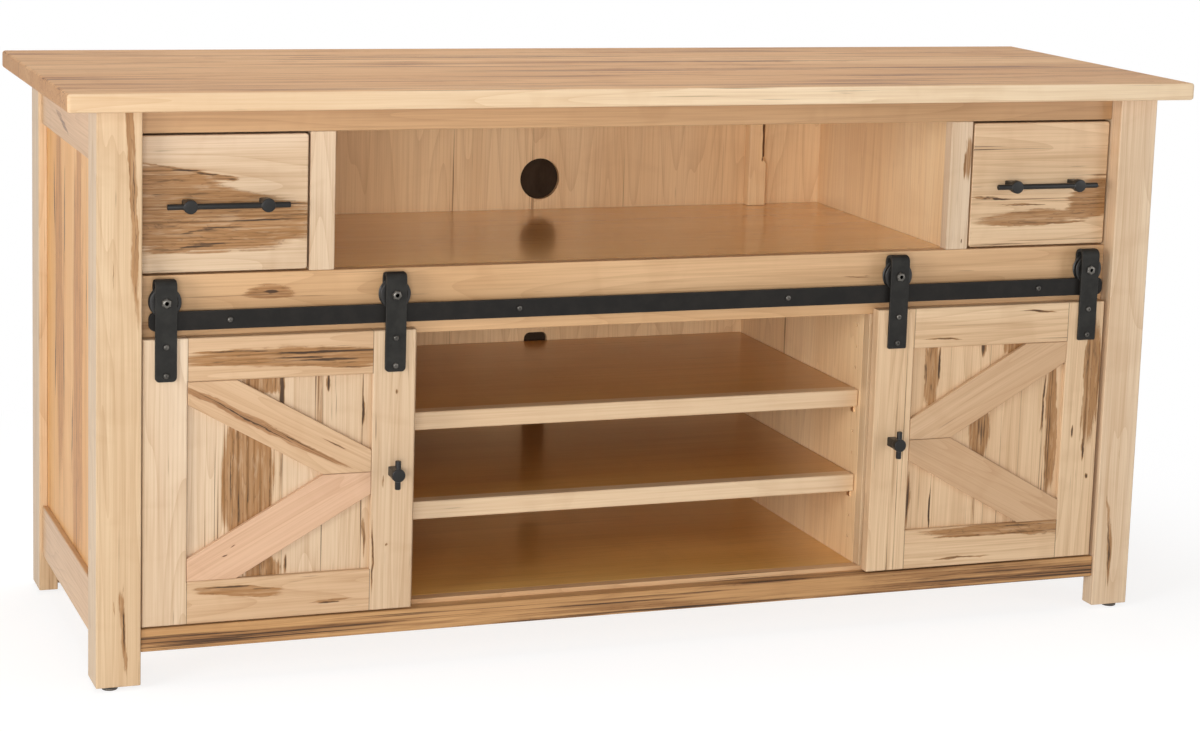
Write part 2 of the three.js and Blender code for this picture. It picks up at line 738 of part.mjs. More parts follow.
// One arm of the chevron: its middle line runs through the middle of the opening's upper or lower half
function doorBrace(upward) {
  const width = DOOR_WIDTH - DOOR_STILE * 2 - FIT * 2;
  const half = DOOR_HEIGHT / 2 - DOOR_RAIL - FIT;
  const seam = BRACE_GAP / 2;
  const slope = half / width * BRACE_PITCH_SHARE;
  const rise = BRACE_WIDTH / 2 * Math.hypot(1, slope);
  const drop = slope * width / 2;
  const points = [
    [0, half / 2 + drop - rise],
    [0, half],
    [width / 2 - (half / 2 - rise) / slope, half],
    [width, half / 2 - drop + rise],
    [width, seam],
    [width / 2 + (half / 2 - rise - seam) / slope, seam],
  ];
  const placed = points.map(([x, z]) => [
    DOOR_STILE + FIT + x,
    DOOR_HEIGHT / 2 + (upward ? z : -z),
  ]);
  return extrudeBack(outline(placed), BRACE_THICK, 0, SMALL_EASE);
}

// The strap's outline from the front, with its own corner radius at the foot
function strapFace(foot, top, footCorner) {
  const half = STRAP_WIDTH / 2;
  const shape = new THREE.Shape();
  shape.absarc(-half + footCorner, foot + footCorner, footCorner, Math.PI, Math.PI * 1.5, false);
  shape.absarc(half - footCorner, foot + footCorner, footCorner, -Math.PI / 2, 0, false);
  shape.absarc(half - STRAP_TOP_CORNER, top - STRAP_TOP_CORNER, STRAP_TOP_CORNER, 0, Math.PI / 2, false);
  shape.absarc(
    STRAP_TOP_CORNER - half,
    top - STRAP_TOP_CORNER,
    STRAP_TOP_CORNER,
    Math.PI / 2,
    Math.PI,
    false,
  );
  return shape;
}

// Strap hanger: a flat bar on the door's face, bent back over the wheel, with its axle bolt
function hanger(footCorner) {
  const axisY = TRACK_AXIS_Y - DOOR_FRONT;
  const front = axisY - STRAP_OUTER;
  const axle = AXLE_LEVEL - DOOR_FOOT;
  const bend = axle + WHEEL_RADIUS + STRAP_LOOP_CLEARANCE - STRAP_INNER;
  const foot = DOOR_HEIGHT - STRAP_LAP;
  const tail = axle - STRAP_TAIL;
  const side = new THREE.Shape();
  side.moveTo(front, foot);
  side.lineTo(front, bend);
  side.absarc(axisY, bend, STRAP_OUTER, Math.PI, 0, true);
  side.lineTo(axisY + STRAP_OUTER, tail);
  side.lineTo(axisY + STRAP_INNER, tail);
  side.lineTo(axisY + STRAP_INNER, bend);
  side.absarc(axisY, bend, STRAP_INNER, 0, Math.PI, false);
  side.lineTo(axisY - STRAP_INNER, foot);
  const ribbon = new THREE.ExtrudeGeometry(side, {
    depth: STRAP_WIDTH,
    curveSegments: FACETS,
    bevelEnabled: false,
  }).rotateY(Math.PI / 2).rotateX(Math.PI / 2).translate(-STRAP_WIDTH / 2, 0, 0);
  const face = extrudeBack(
    strapFace(foot, bend + STRAP_OUTER, footCorner),
    STRAP_OUTER * 2 + OVERRUN * 2,
    front - OVERRUN,
  );
  const strap = intersect(ribbon, face);
  const back = axisY + STRAP_OUTER;
  const bolt = rodAlongY(AXLE_RADIUS, 0, front, back, axle, FACETS);
  const head = new THREE.CylinderGeometry(
    AXLE_HEAD_RADIUS,
    AXLE_HEAD_RADIUS * AXLE_HEAD_TAPER_SHARE,
    AXLE_HEAD_HEIGHT,
    HEX_FACETS,
  ).translate(0, front - AXLE_HEAD_HEIGHT / 2 + FIT, axle);
  const nut = rodAlongY(NUT_RADIUS, 0, back - FIT, back + NUT_THICK, axle, HEX_FACETS);
  return unite([strap, bolt, head, nut]);
}

// Grooved wheel that straddles the track's top edge
function wheel() {
  const half = WHEEL_WIDTH / 2;
  const groove = WHEEL_GROOVE / 2;
  const bore = AXLE_RADIUS + FIT;
  const tread = WHEEL_TREAD_RADIUS - FIT;
  const profile = [
    [bore, -half],
    [WHEEL_RADIUS - WHEEL_RIM_CHAMFER, -half],
    [WHEEL_RADIUS, -half + WHEEL_RIM_CHAMFER],
    [WHEEL_RADIUS - WHEEL_FLANGE_EDGE, -groove],
    [tread, -groove],
    [tread, groove],
    [WHEEL_RADIUS - WHEEL_FLANGE_EDGE, groove],
    [WHEEL_RADIUS, half - WHEEL_RIM_CHAMFER],
    [WHEEL_RADIUS - WHEEL_RIM_CHAMFER, half],
    [bore, half],
    [bore, -half],
  ];
  return turn(profile, WHEEL_FACETS);
}

// Bar knob: an upright bar through the round head of a square post
function knob() {
  const bar = barAlong(KNOB_LENGTH).translate(0, -KNOB_REACH, 0);
  return unite([bar, ...post(0, KNOB_REACH)]);
}

// A round bar along Z with chamfered ends, centred on the origin
function barAlong(length) {
  const end = length / 2;
  const inner = end - BAR_END_CHAMFER;
  const rim = BAR_RADIUS - BAR_END_CHAMFER;
  return turn([
    [0, -end],
    [rim, -end],
    [BAR_RADIUS, -inner],
    [BAR_RADIUS, inner],
    [rim, end],
    [0, end],
  ], FACETS).rotateX(Math.PI / 2);
}

// A square post from the face at y = 0 out to a round head that holds the bar
function post(x, reach) {
  const stem = extrudeBack(
    roundRectangle(x - POST_WIDTH / 2, -POST_WIDTH / 2, POST_WIDTH, POST_WIDTH, POST_CORNER),
    reach - FIT,
    -reach,
  );
  const rim = HEAD_RADIUS - HEAD_CHAMFER;
  const head = turn([
    [0, -HEAD_FRONT],
    [rim, -HEAD_FRONT],
    [HEAD_RADIUS, HEAD_CHAMFER - HEAD_FRONT],
    [HEAD_RADIUS, HEAD_BACK - HEAD_CHAMFER],
    [rim, HEAD_BACK],
    [0, HEAD_BACK],
  ]).translate(x, -reach, 0);
  return [stem, head];
}

function addDoor(name, edge, side) {
  const place = (geometry, x = 0, y = 0, z = 0) => {
    const moved = geometry.clone().translate(x, y, z);
    const handed = side < 0 ? moved : mirrorX(moved);
    return handed.translate(edge, DOOR_FRONT, DOOR_FOOT);
  };
  const knobX = DOOR_WIDTH - DOOR_STILE / 2;
  add(`${name}_frame`, place(doorFrame()), WOOD);
  add(`${name}_panel`, place(doorPanel()), WOOD);
  add(`${name}_brace_upper`, place(doorBrace(true)), WOOD);
  add(`${name}_brace_lower`, place(doorBrace(false)), WOOD);
  add(`${name}_knob`, place(knob(), knobX, 0, DOOR_HEIGHT / 2), BLACK_STEEL);
  const strap = hanger(side < 0 ? LEFT_STRAP_CORNER : RIGHT_STRAP_CORNER);
  const roller = wheel().translate(0, TRACK_AXIS_Y - DOOR_FRONT, AXLE_LEVEL - DOOR_FOOT);
  for (const [end, x] of [['outer', DOOR_STILE / 2], ['inner', knobX]]) {
    add(`${name}_hanger_${end}`, place(strap, x), BLACK_STEEL);
    add(`${name}_wheel_${end}`, place(roller, x), BLACK_STEEL);
  }
}

// Drawers: an inset front, an open box behind it that rides on the deck, and a bar pull
function drawerFront() {
  const width = DRAWER_OPENING_WIDTH - DRAWER_GAP * 2;
  const height = DRAWER_OPENING_HEIGHT - DRAWER_GAP * 2;
  const shape = roundRectangle(
    OPENING_LEFT + DRAWER_GAP,
    MIDDLE_LEVEL + DRAWER_GAP,
    width,
    height,
    DRAWER_FRONT_CORNER,
  );
  return extrudeBack(shape, FRAME_THICK, FRAME_FRONT, EASE);
}

function drawerBox() {
  const low = [DRAWER_BOX_LEFT, INSIDE_FRONT, MIDDLE_LEVEL + FIT];
  const high = [low[0] + DRAWER_BOX_WIDTH, DRAWER_BOX_BACK, low[2] + DRAWER_BOX_HEIGHT];
  const wall = DRAWER_BOX_WALL;
  const floor = low[2] + DRAWER_BOTTOM_RISE + DRAWER_BOTTOM_THICK;
  const inside = block(
    [low[0] + wall, low[1] + wall, floor],
    [high[0] - wall, high[1] - wall, high[2] + OVERRUN],
  );
  const underside = block(
    [low[0] + wall, low[1] + wall, low[2] - OVERRUN],
    [high[0] - wall, high[1] - wall, low[2] + DRAWER_BOTTOM_RISE],
  );
  return cut(board(low, high, SMALL_EASE), [inside, underside]);
}

function drawerPull() {
  const bar = barAlong(PULL_LENGTH).rotateY(Math.PI / 2).translate(0, -PULL_REACH, 0);
  const posts = [-1, 1].flatMap((side) => post(side * PULL_POST_PITCH / 2, PULL_REACH));
  const x = OPENING_LEFT + DRAWER_OPENING_WIDTH / 2;
  const z = MIDDLE_LEVEL + DRAWER_OPENING_HEIGHT / 2;
  return unite([bar, ...posts]).translate(x, FRAME_FRONT, z);
}

function addDrawers() {
  const parts = {
    front: [drawerFront(), WOOD],
    box: [drawerBox(), INNER_WOOD],
    pull: [drawerPull(), BLACK_STEEL],
  };
  for (const [part, [geometry, material]] of Object.entries(parts)) {
    add(`drawer_left_${part}`, geometry, material);
    add(`drawer_right_${part}`, mirrorX(geometry), material);
  }
}

addTop();
addLegs();
addGlides();
addEnds();
addFaceFrame();
addPlinth();
addDecks();
addDividers();
addBack();
addShelves();
addTrack();
addDoor('door_left', OPENING_LEFT + LEFT_DOOR_GAP, -1);
addDoor('door_right', -OPENING_LEFT - RIGHT_DOOR_GAP, 1);
addDrawers();

export default assembly;
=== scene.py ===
"""Dresses the packed media console: lacquered wormy maple, black steel hardware and a white studio.

Laid out as an add-on with one operator per group of pieces, and run as a script. Lengths in metres,
+Z up, front towards -Y. The sizes of the case come from the boxes of the packed nodes.
"""

import math

import bmesh
import bpy
from bpy.props import FloatProperty, FloatVectorProperty, IntProperty, PointerProperty
from mathutils import Matrix, Vector, noise


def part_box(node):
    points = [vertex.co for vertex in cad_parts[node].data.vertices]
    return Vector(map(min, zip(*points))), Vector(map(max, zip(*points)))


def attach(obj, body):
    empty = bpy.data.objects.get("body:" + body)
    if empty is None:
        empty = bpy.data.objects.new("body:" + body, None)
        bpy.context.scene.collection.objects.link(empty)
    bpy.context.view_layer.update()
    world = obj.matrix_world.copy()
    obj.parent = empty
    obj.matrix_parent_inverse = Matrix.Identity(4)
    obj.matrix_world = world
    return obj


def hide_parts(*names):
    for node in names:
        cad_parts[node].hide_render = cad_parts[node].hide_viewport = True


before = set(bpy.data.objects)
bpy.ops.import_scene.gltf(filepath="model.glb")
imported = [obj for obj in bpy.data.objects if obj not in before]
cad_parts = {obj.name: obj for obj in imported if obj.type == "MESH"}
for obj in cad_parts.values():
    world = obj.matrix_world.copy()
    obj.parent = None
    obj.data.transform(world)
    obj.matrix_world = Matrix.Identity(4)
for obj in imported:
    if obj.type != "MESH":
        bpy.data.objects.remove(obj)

bl_info = {
    "name": "Media Console Dressing",
    "version": (1, 0, 0),
    "blender": (4, 5, 0),
    "location": "3D View > Sidebar > Console",
    "description": "Finishes, hardware, fasteners and studio for the packed media console",
    "category": "Object",
}

DOORS = ("left", "right")
ENDS = ("outer", "inner")
# Openings in the back panel: x, z and radius of the hole; left, right, low and high of the slot
HOLE = (-0.008, 0.6055, 0.032)
SLOT = (-0.027, 0.011, 0.122, 0.3618)
# Depth of a shelf's front strip, depth of the groove round a door panel, and the distance from the
# console's middle within which a lower divider's solid is a steel shelf pin
STRIP, TONGUE, PIN_REACH = 0.022, 0.007, 0.3432
BRACE_ANGLE = math.radians(28)
SMOOTH_ANGLE = math.radians(32)
# Radii of the soft edges of wood and of steel's lighter edges, which are partly rubbed bare and partly
# painted highlight, and half the width of a drawn joint line
EASED_EDGE, WORN_AND_HIGHLIT_EDGE, JOINT_LINE = 0.0014, 0.0009, 0.0006
# Depth of a bar's middle behind the front of the round head it goes through
BAR_DEPTH = 0.0052
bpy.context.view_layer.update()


# ------------------------------------------------------------------ settings
def length(name, description, default):
    """A settable length in metres"""
    return FloatProperty(name=name, description=description, default=default, min=0.0, unit="LENGTH")


def share(name, description, default):
    """A settable share or strength"""
    return FloatProperty(name=name, description=description, default=default, min=0.0)


class StrapSettings(bpy.types.PropertyGroup):
    """Strap hangers of the doors"""

    thick: length("Thickness", "Thickness of the flat bar", 0.004)
    edge: length("Edge", "Width of the broken edges", 0.0005)
    top_corner: length("Top corner", "Corner radius at the bend", 0.0025)
    left_corner: length("Left foot corner", "Foot's corner radius on the left door", 0.006)
    right_corner: length("Right foot corner", "Foot's corner radius on the right door", 0.002)
    tail: length("Tail", "How far the back leg reaches below the axle", 0.012)
    head_radius: length("Head radius", "Radius of the axle bolt's head", 0.007)
    head_height: length("Head height", "Height of the axle bolt's head", 0.0042)
    nut_thick: length("Nut", "Thickness of the axle's nut", 0.0035)
    axle_radius: length("Axle", "Radius of the axle", 0.004)
    bend_steps: IntProperty(name="Bend steps", description="Stations round the bend", default=28, min=4)


class WheelSettings(bpy.types.PropertyGroup):
    """Grooved wheels"""

    tread: length("Tread radius", "Radius at the bottom of the groove", 0.0132)
    groove: length("Groove", "Width of the groove", 0.0064)
    bore: length("Bore", "Radius of the bore", 0.0043)
    rim: length("Rim", "Rounding of the rim", 0.0012)
    web: length("Web", "Depth of the hollow in each side", 0.0009)


class PullSettings(bpy.types.PropertyGroup):
    """Bar pulls and bar knobs"""

    bar_radius: length("Bar radius", "Radius of the bar", 0.004)
    bar_edge: length("Bar edge", "Rounding at the bar's ends", 0.0009)
    stem: length("Stem", "Width of the square stem", 0.013)
    stem_corner: length("Stem corner", "Corner radius of the stem", 0.0015)
    head_radius: length("Head radius", "Radius of the round head", 0.0094)
    head_back: length("Head back", "How far the head reaches behind the bar's middle", 0.0055)
    head_edge: length("Head edge", "Rounding of the head", 0.0014)
    pitch: length("Pitch", "Distance between a pull's two posts", 0.104)


class TrackSettings(bpy.types.PropertyGroup):
    """Flat track"""

    thick: length("Thickness", "Thickness of the bar", 0.005)
    corner: length("Corner", "Corner radius of the bar's ends", 0.009)
    edge: length("Edge", "Width of the broken edges", 0.0005)
    standoff: length("Standoff", "Radius of the standoffs", 0.004)
    inset: length("Bolt inset", "Distance of the end bolts from the bar's ends", 0.1085)
    bolts: IntProperty(name="Bolts", description="Number of bolts", default=4, min=2)


class ScrewSettings(bpy.types.PropertyGroup):
    """Socket screws of the hangers and the track"""

    radius: length("Radius", "Radius of the head", 0.0039)
    height: length("Height", "Height of the head", 0.0026)
    socket: length("Socket", "Radius of the hex socket", 0.0019)
    depth: length("Socket depth", "Depth of the hex socket", 0.0016)
    upper: length("Upper screw", "Height of the upper screw above the strap's foot", 0.047)
    lower: length("Lower screw", "Height of the lower screw above the strap's foot", 0.0085)
    seed: IntProperty(name="Seed", description="Seed of the sockets' turns", default=7)


class StudioSettings(bpy.types.PropertyGroup):
    """Camera, lamps, floor and backdrop"""

    place: FloatVectorProperty(
        name="Camera", description="Place of the camera", size=3, subtype="XYZ",
        default=(-1.4202, -3.7783, 1.2155),
    )
    pan: FloatProperty(name="Pan", description="Turn to the right", default=0.3604)
    tilt: FloatProperty(name="Tilt", description="Turn downwards", default=0.16579)
    roll: FloatProperty(name="Roll", description="Turn about the view", default=0.03154)
    lens: FloatProperty(name="Lens", description="Focal length for a 36 mm sensor", default=82.86)
    rise: FloatProperty(name="Shift", description="Vertical shift of the lens", default=-0.1)
    key: share("Key", "Power of the left lamp in watts", 74.0)
    front: share("Front", "Power of the lamp by the camera in watts", 76.0)
    fill: share("Fill", "Power of the right lamp in watts", 30.0)
    rear: share("Rear", "Power of the lamp behind the console in watts", 50.0)
    over: share("Over", "Power of the overhead lamp in watts", 56.0)
    sky: share("Sky", "Strength of the even light from all round", 0.14)
    floor_shade: share("Floor shade", "Share of real shading on the white floor near the console", 0.4)
    floor_light: share("Floor light", "How bright the floor's real shading is away from the console", 0.5)


# ------------------------------------------------------------------ node helpers
def linear(red, green, blue):
    """A colour from screen values of 0 to 255"""
    def channel(value):
        value /= 255.0
        return value / 12.92 if value <= 0.04045 else ((value + 0.055) / 1.055) ** 2.4

    return (channel(red), channel(green), channel(blue), 1.0)


def put(tree, kind, values=None, **options):
    """Adds a node, sets its options, and sets or links its inputs by name or number"""
    node = tree.nodes.new(kind)
    for option, value in options.items():
        setattr(node, option, value)
    for key, value in (values or {}).items():
        if isinstance(value, bpy.types.NodeSocket):
            tree.links.new(value, node.inputs[key])
        else:
            node.inputs[key].default_value = value
    return node


def maths(tree, operation, *values, clamp=False):
    """Output of a Math node on numbers or sockets"""
    node = put(tree, "ShaderNodeMath", dict(enumerate(values)), operation=operation, use_clamp=clamp)
    return node.outputs[0]


def plus(tree, first, second, clamp=False):
    """Sum of two numbers or sockets"""
    return maths(tree, "ADD", first, second, clamp=clamp)


def minus(tree, first, second):
    """Difference of two numbers or sockets"""
    return maths(tree, "SUBTRACT", first, second)


def times(tree, first, second, clamp=False):
    """Product of two numbers or sockets"""
    return maths(tree, "MULTIPLY", first, second, clamp=clamp)


def vectors(tree, operation, *values, output=0):
    """Output of a Vector Math node"""
    node = put(tree, "ShaderNodeVectorMath", dict(enumerate(values)), operation=operation)
    return node.outputs[output]


def ramp(tree, value, low, high):
    """0 below low, 1 above high, smooth between them"""
    node = put(
        tree, "ShaderNodeMapRange", {"Value": value, "From Min": low, "From Max": high},
        interpolation_type="SMOOTHSTEP",
    )
    return node.outputs["Result"]


def blend(tree, factor, first, second):
    """Mix of two colours"""
    return put(tree, "ShaderNodeMix", {0: factor, 6: first, 7: second}, data_type="RGBA").outputs[2]


def speckle(tree, vector, scale, detail=2.0, rough=0.5, warp=0.0, output=0):
    """Noise texture on a vector stretched by three scales"""
    stretched = vectors(tree, "MULTIPLY", vector, scale)
    values = {"Vector": stretched, "Scale": 1.0, "Detail": detail, "Roughness": rough, "Distortion": warp}
    return put(tree, "ShaderNodeTexNoise", values).outputs[output]


def new_material(name):
    """An empty material, its node tree and its Object coordinates"""
    material = bpy.data.materials.new(name)
    material.use_nodes = True
    tree = material.node_tree
    tree.nodes.clear()
    return material, tree, put(tree, "ShaderNodeTexCoord").outputs["Object"]


def close_material(tree, values):
    """Ends a material with one Principled shader"""
    shader = put(tree, "ShaderNodeBsdfPrincipled", values)
    put(tree, "ShaderNodeOutputMaterial", {"Surface": shader.outputs[0]})
    return shader


# ------------------------------------------------------------------ materials
# Noise patterns of the maple: scales along and across the grain, detail, roughness and warp
NOISES = {
    "tone": ((0.9, 9.0, 9.0), 3.0, 0.5, 0.3),
    "swell": ((0.8, 10.0, 10.0), 1.6, 0.45, 0.25),
    "fibre": ((6.0, 420.0, 420.0), 2.0, 0.6),
    "ribbon": ((2.5, 70.0, 70.0), 2.0, 0.5),
    "curl": ((15.0, 8.0, 8.0), 2.5, 0.55, 0.8),
    "stain": ((1.7, 25.0, 25.0), 4.0, 0.56, 0.5),
    "strand": ((2.2, 290.0, 290.0), 3.0, 0.55, 0.2),
    "dash": ((19.0, 210.0, 210.0), 3.0, 0.62, 0.4),
    "mark": ((11.0, 260.0, 260.0), 1.0, 0.5),
}
COLOURS = ("Pale", "Tan", "Halo", "Core")
RING_COUNT, CONTOUR_COUNT = 21.0, 27.0
DEEPEST = (44, 30, 20)


def grain_group():
    """Wormy maple along X: colour and height from a vector and its settings"""
    tree = bpy.data.node_groups.new("wormy_maple", "ShaderNodeTree")
    face = tree.interface
    face.new_socket(name="Vector", in_out="INPUT", socket_type="NodeSocketVector")
    for name in COLOURS:
        face.new_socket(name=name, in_out="INPUT", socket_type="NodeSocketColor")
    for name in ("Rings", "Level", "Strands", "Brown"):
        face.new_socket(name=name, in_out="INPUT", socket_type="NodeSocketFloat")
    face.new_socket(name="Color", in_out="OUTPUT", socket_type="NodeSocketColor")
    face.new_socket(name="Height", in_out="OUTPUT", socket_type="NodeSocketFloat")
    source = tree.nodes.new("NodeGroupInput").outputs
    pattern = {name: speckle(tree, source["Vector"], *values) for name, values in NOISES.items()}
    tone, stain, strand, dash = (pattern[name] for name in ("tone", "stain", "strand", "dash"))

    def lay(colour, mask, strength, name):
        """One of the wood's colours over the last one, as far as a mask and a strength say"""
        return blend(tree, times(tree, mask, strength), colour, source[name])

    # Clear wood: two tones, growth rings, pores, ribbons and a faint curl across the grain
    colour = blend(tree, ramp(tree, tone, 0.34, 0.7), source["Pale"], source["Tan"])
    ring = maths(tree, "FRACT", times(tree, pattern["swell"], RING_COUNT))
    colour = lay(colour, maths(tree, "POWER", ring, 4.0), source["Rings"], "Halo")
    figures = (("fibre", 0.35, 0.8, 0.3), ("ribbon", 0.5, 0.75, 0.2), ("curl", 0.5, 0.72, 0.12))
    for name, low, high, strength in figures:
        colour = lay(colour, ramp(tree, pattern[name], low, high), strength, "Halo")

    # Browned areas: a halo with streaks and mottles in it
    above = minus(tree, stain, source["Level"])
    thread = times(tree, minus(tree, strand, 0.56), source["Strands"])
    browned = plus(tree, plus(tree, above, source["Brown"]), times(tree, thread, 0.35))
    halo = ramp(tree, browned, -0.08, 0.1)
    streaked = times(tree, halo, plus(tree, 0.5, times(tree, strand, 0.8)), clamp=True)
    colour = blend(tree, streaked, colour, source["Halo"])
    fibred = times(tree, ramp(tree, browned, 0.0, 0.25), ramp(tree, strand, 0.5, 0.68))
    colour = lay(colour, fibred, 0.45, "Core")
    within = ramp(tree, browned, -0.02, 0.14)
    colour = lay(colour, times(tree, within, ramp(tree, dash, 0.5, 0.3)), 0.34, "Tan")
    colour = lay(colour, times(tree, within, ramp(tree, dash, 0.56, 0.7)), 0.5, "Core")

    # Fine dark contours inside a stain, and a thin line along part of its outline
    contour = maths(tree, "POWER", maths(tree, "FRACT", times(tree, stain, CONTOUR_COUNT)), 7.0)
    colour = lay(colour, times(tree, contour, halo), 0.4, "Core")
    band = maths(tree, "ABSOLUTE", minus(tree, browned, 0.006))
    outline = times(tree, minus(tree, 1.0, ramp(tree, band, 0.001, 0.007)), ramp(tree, tone, 0.42, 0.55))
    colour = lay(colour, outline, 0.5, "Core")

    # Dark cores, nearly black in their middle, and short flecks everywhere
    threaded = plus(tree, above, thread)
    core = ramp(tree, threaded, 0.02, 0.14)
    colour = lay(colour, core, 0.8, "Core")
    deep = ramp(tree, threaded, 0.12, 0.26)
    colour = blend(tree, times(tree, deep, 0.6), colour, linear(*DEEPEST))
    colour = lay(colour, ramp(tree, pattern["mark"], 0.74, 0.84), 0.5, "Core")

    height = minus(tree, pattern["fibre"], times(tree, core, 0.4))
    put(tree, "NodeGroupOutput", {"Color": colour, "Height": height})


GRAIN_TURNS = {
    "x": (0.0, 0.0, 0.0),
    "y": (0.0, 0.0, -math.pi / 2),
    "z": (0.0, math.pi / 2, 0.0),
}

GRAIN_AXES = {"x": (1.0, 0.0, 0.0), "y": (0.0, 1.0, 0.0), "z": (0.0, 0.0, 1.0)}

# Screen colours: pale wood, darker wood, halo of a stain, core of a stain
TONES = {
    "pale": ((221, 192, 155), (209, 177, 139), (168, 123, 78), (84, 58, 34)),
    "door": ((228, 204, 175), (216, 187, 153), (160, 113, 65), (80, 56, 34)),
    "warm": ((232, 201, 163), (220, 185, 146), (160, 113, 65), (80, 56, 34)),
    "blond": ((238, 214, 183), (227, 198, 164), (176, 130, 84), (84, 58, 34)),
    "cream": ((234, 204, 161), (222, 187, 142), (182, 137, 90), (96, 66, 38)),
    "edge": ((247, 223, 189), (239, 212, 176), (200, 156, 110), (104, 72, 44)),
    "rim": ((228, 198, 160), (219, 186, 147), (182, 137, 92), (96, 66, 38)),
    "honey": ((224, 184, 140), (210, 167, 121), (164, 117, 72), (86, 56, 32)),
    "pink": ((221, 182, 149), (210, 168, 134), (180, 132, 97), (104, 68, 44)),
    "brace": ((217, 183, 146), (205, 168, 130), (168, 122, 80), (78, 52, 32)),
    "top": ((224, 180, 132), (208, 160, 112), (164, 110, 68), (96, 60, 36)),
    "heart": ((243, 195, 137), (233, 177, 112), (202, 141, 82), (104, 66, 34)),
    "brown": ((206, 160, 108), (184, 136, 86), (138, 94, 54), (62, 42, 26)),
    # The bay's inner tones are paler than the outside maple, partly as their own wood and partly as painted
    # light in the open bay
    "inner": ((246, 213, 168), (238, 200, 152), (196, 150, 106), (130, 92, 58)),
    # The apron is darker partly as its own wood and partly as painted shade of the top's overhang
    "apron": ((200, 160, 118), (186, 145, 102), (146, 105, 66), (86, 58, 34)),
    "deck": ((240, 190, 108), (228, 174, 92), (186, 136, 76), (120, 82, 48)),
    # Paler still: partly its own wood, partly painted light on the bay's walls
    "lining_and_painted_light": ((252, 222, 178), (246, 210, 162), (208, 162, 116), (130, 92, 58)),
    "shelf": ((206, 152, 80), (194, 137, 68), (164, 112, 56), (120, 78, 40)),
}

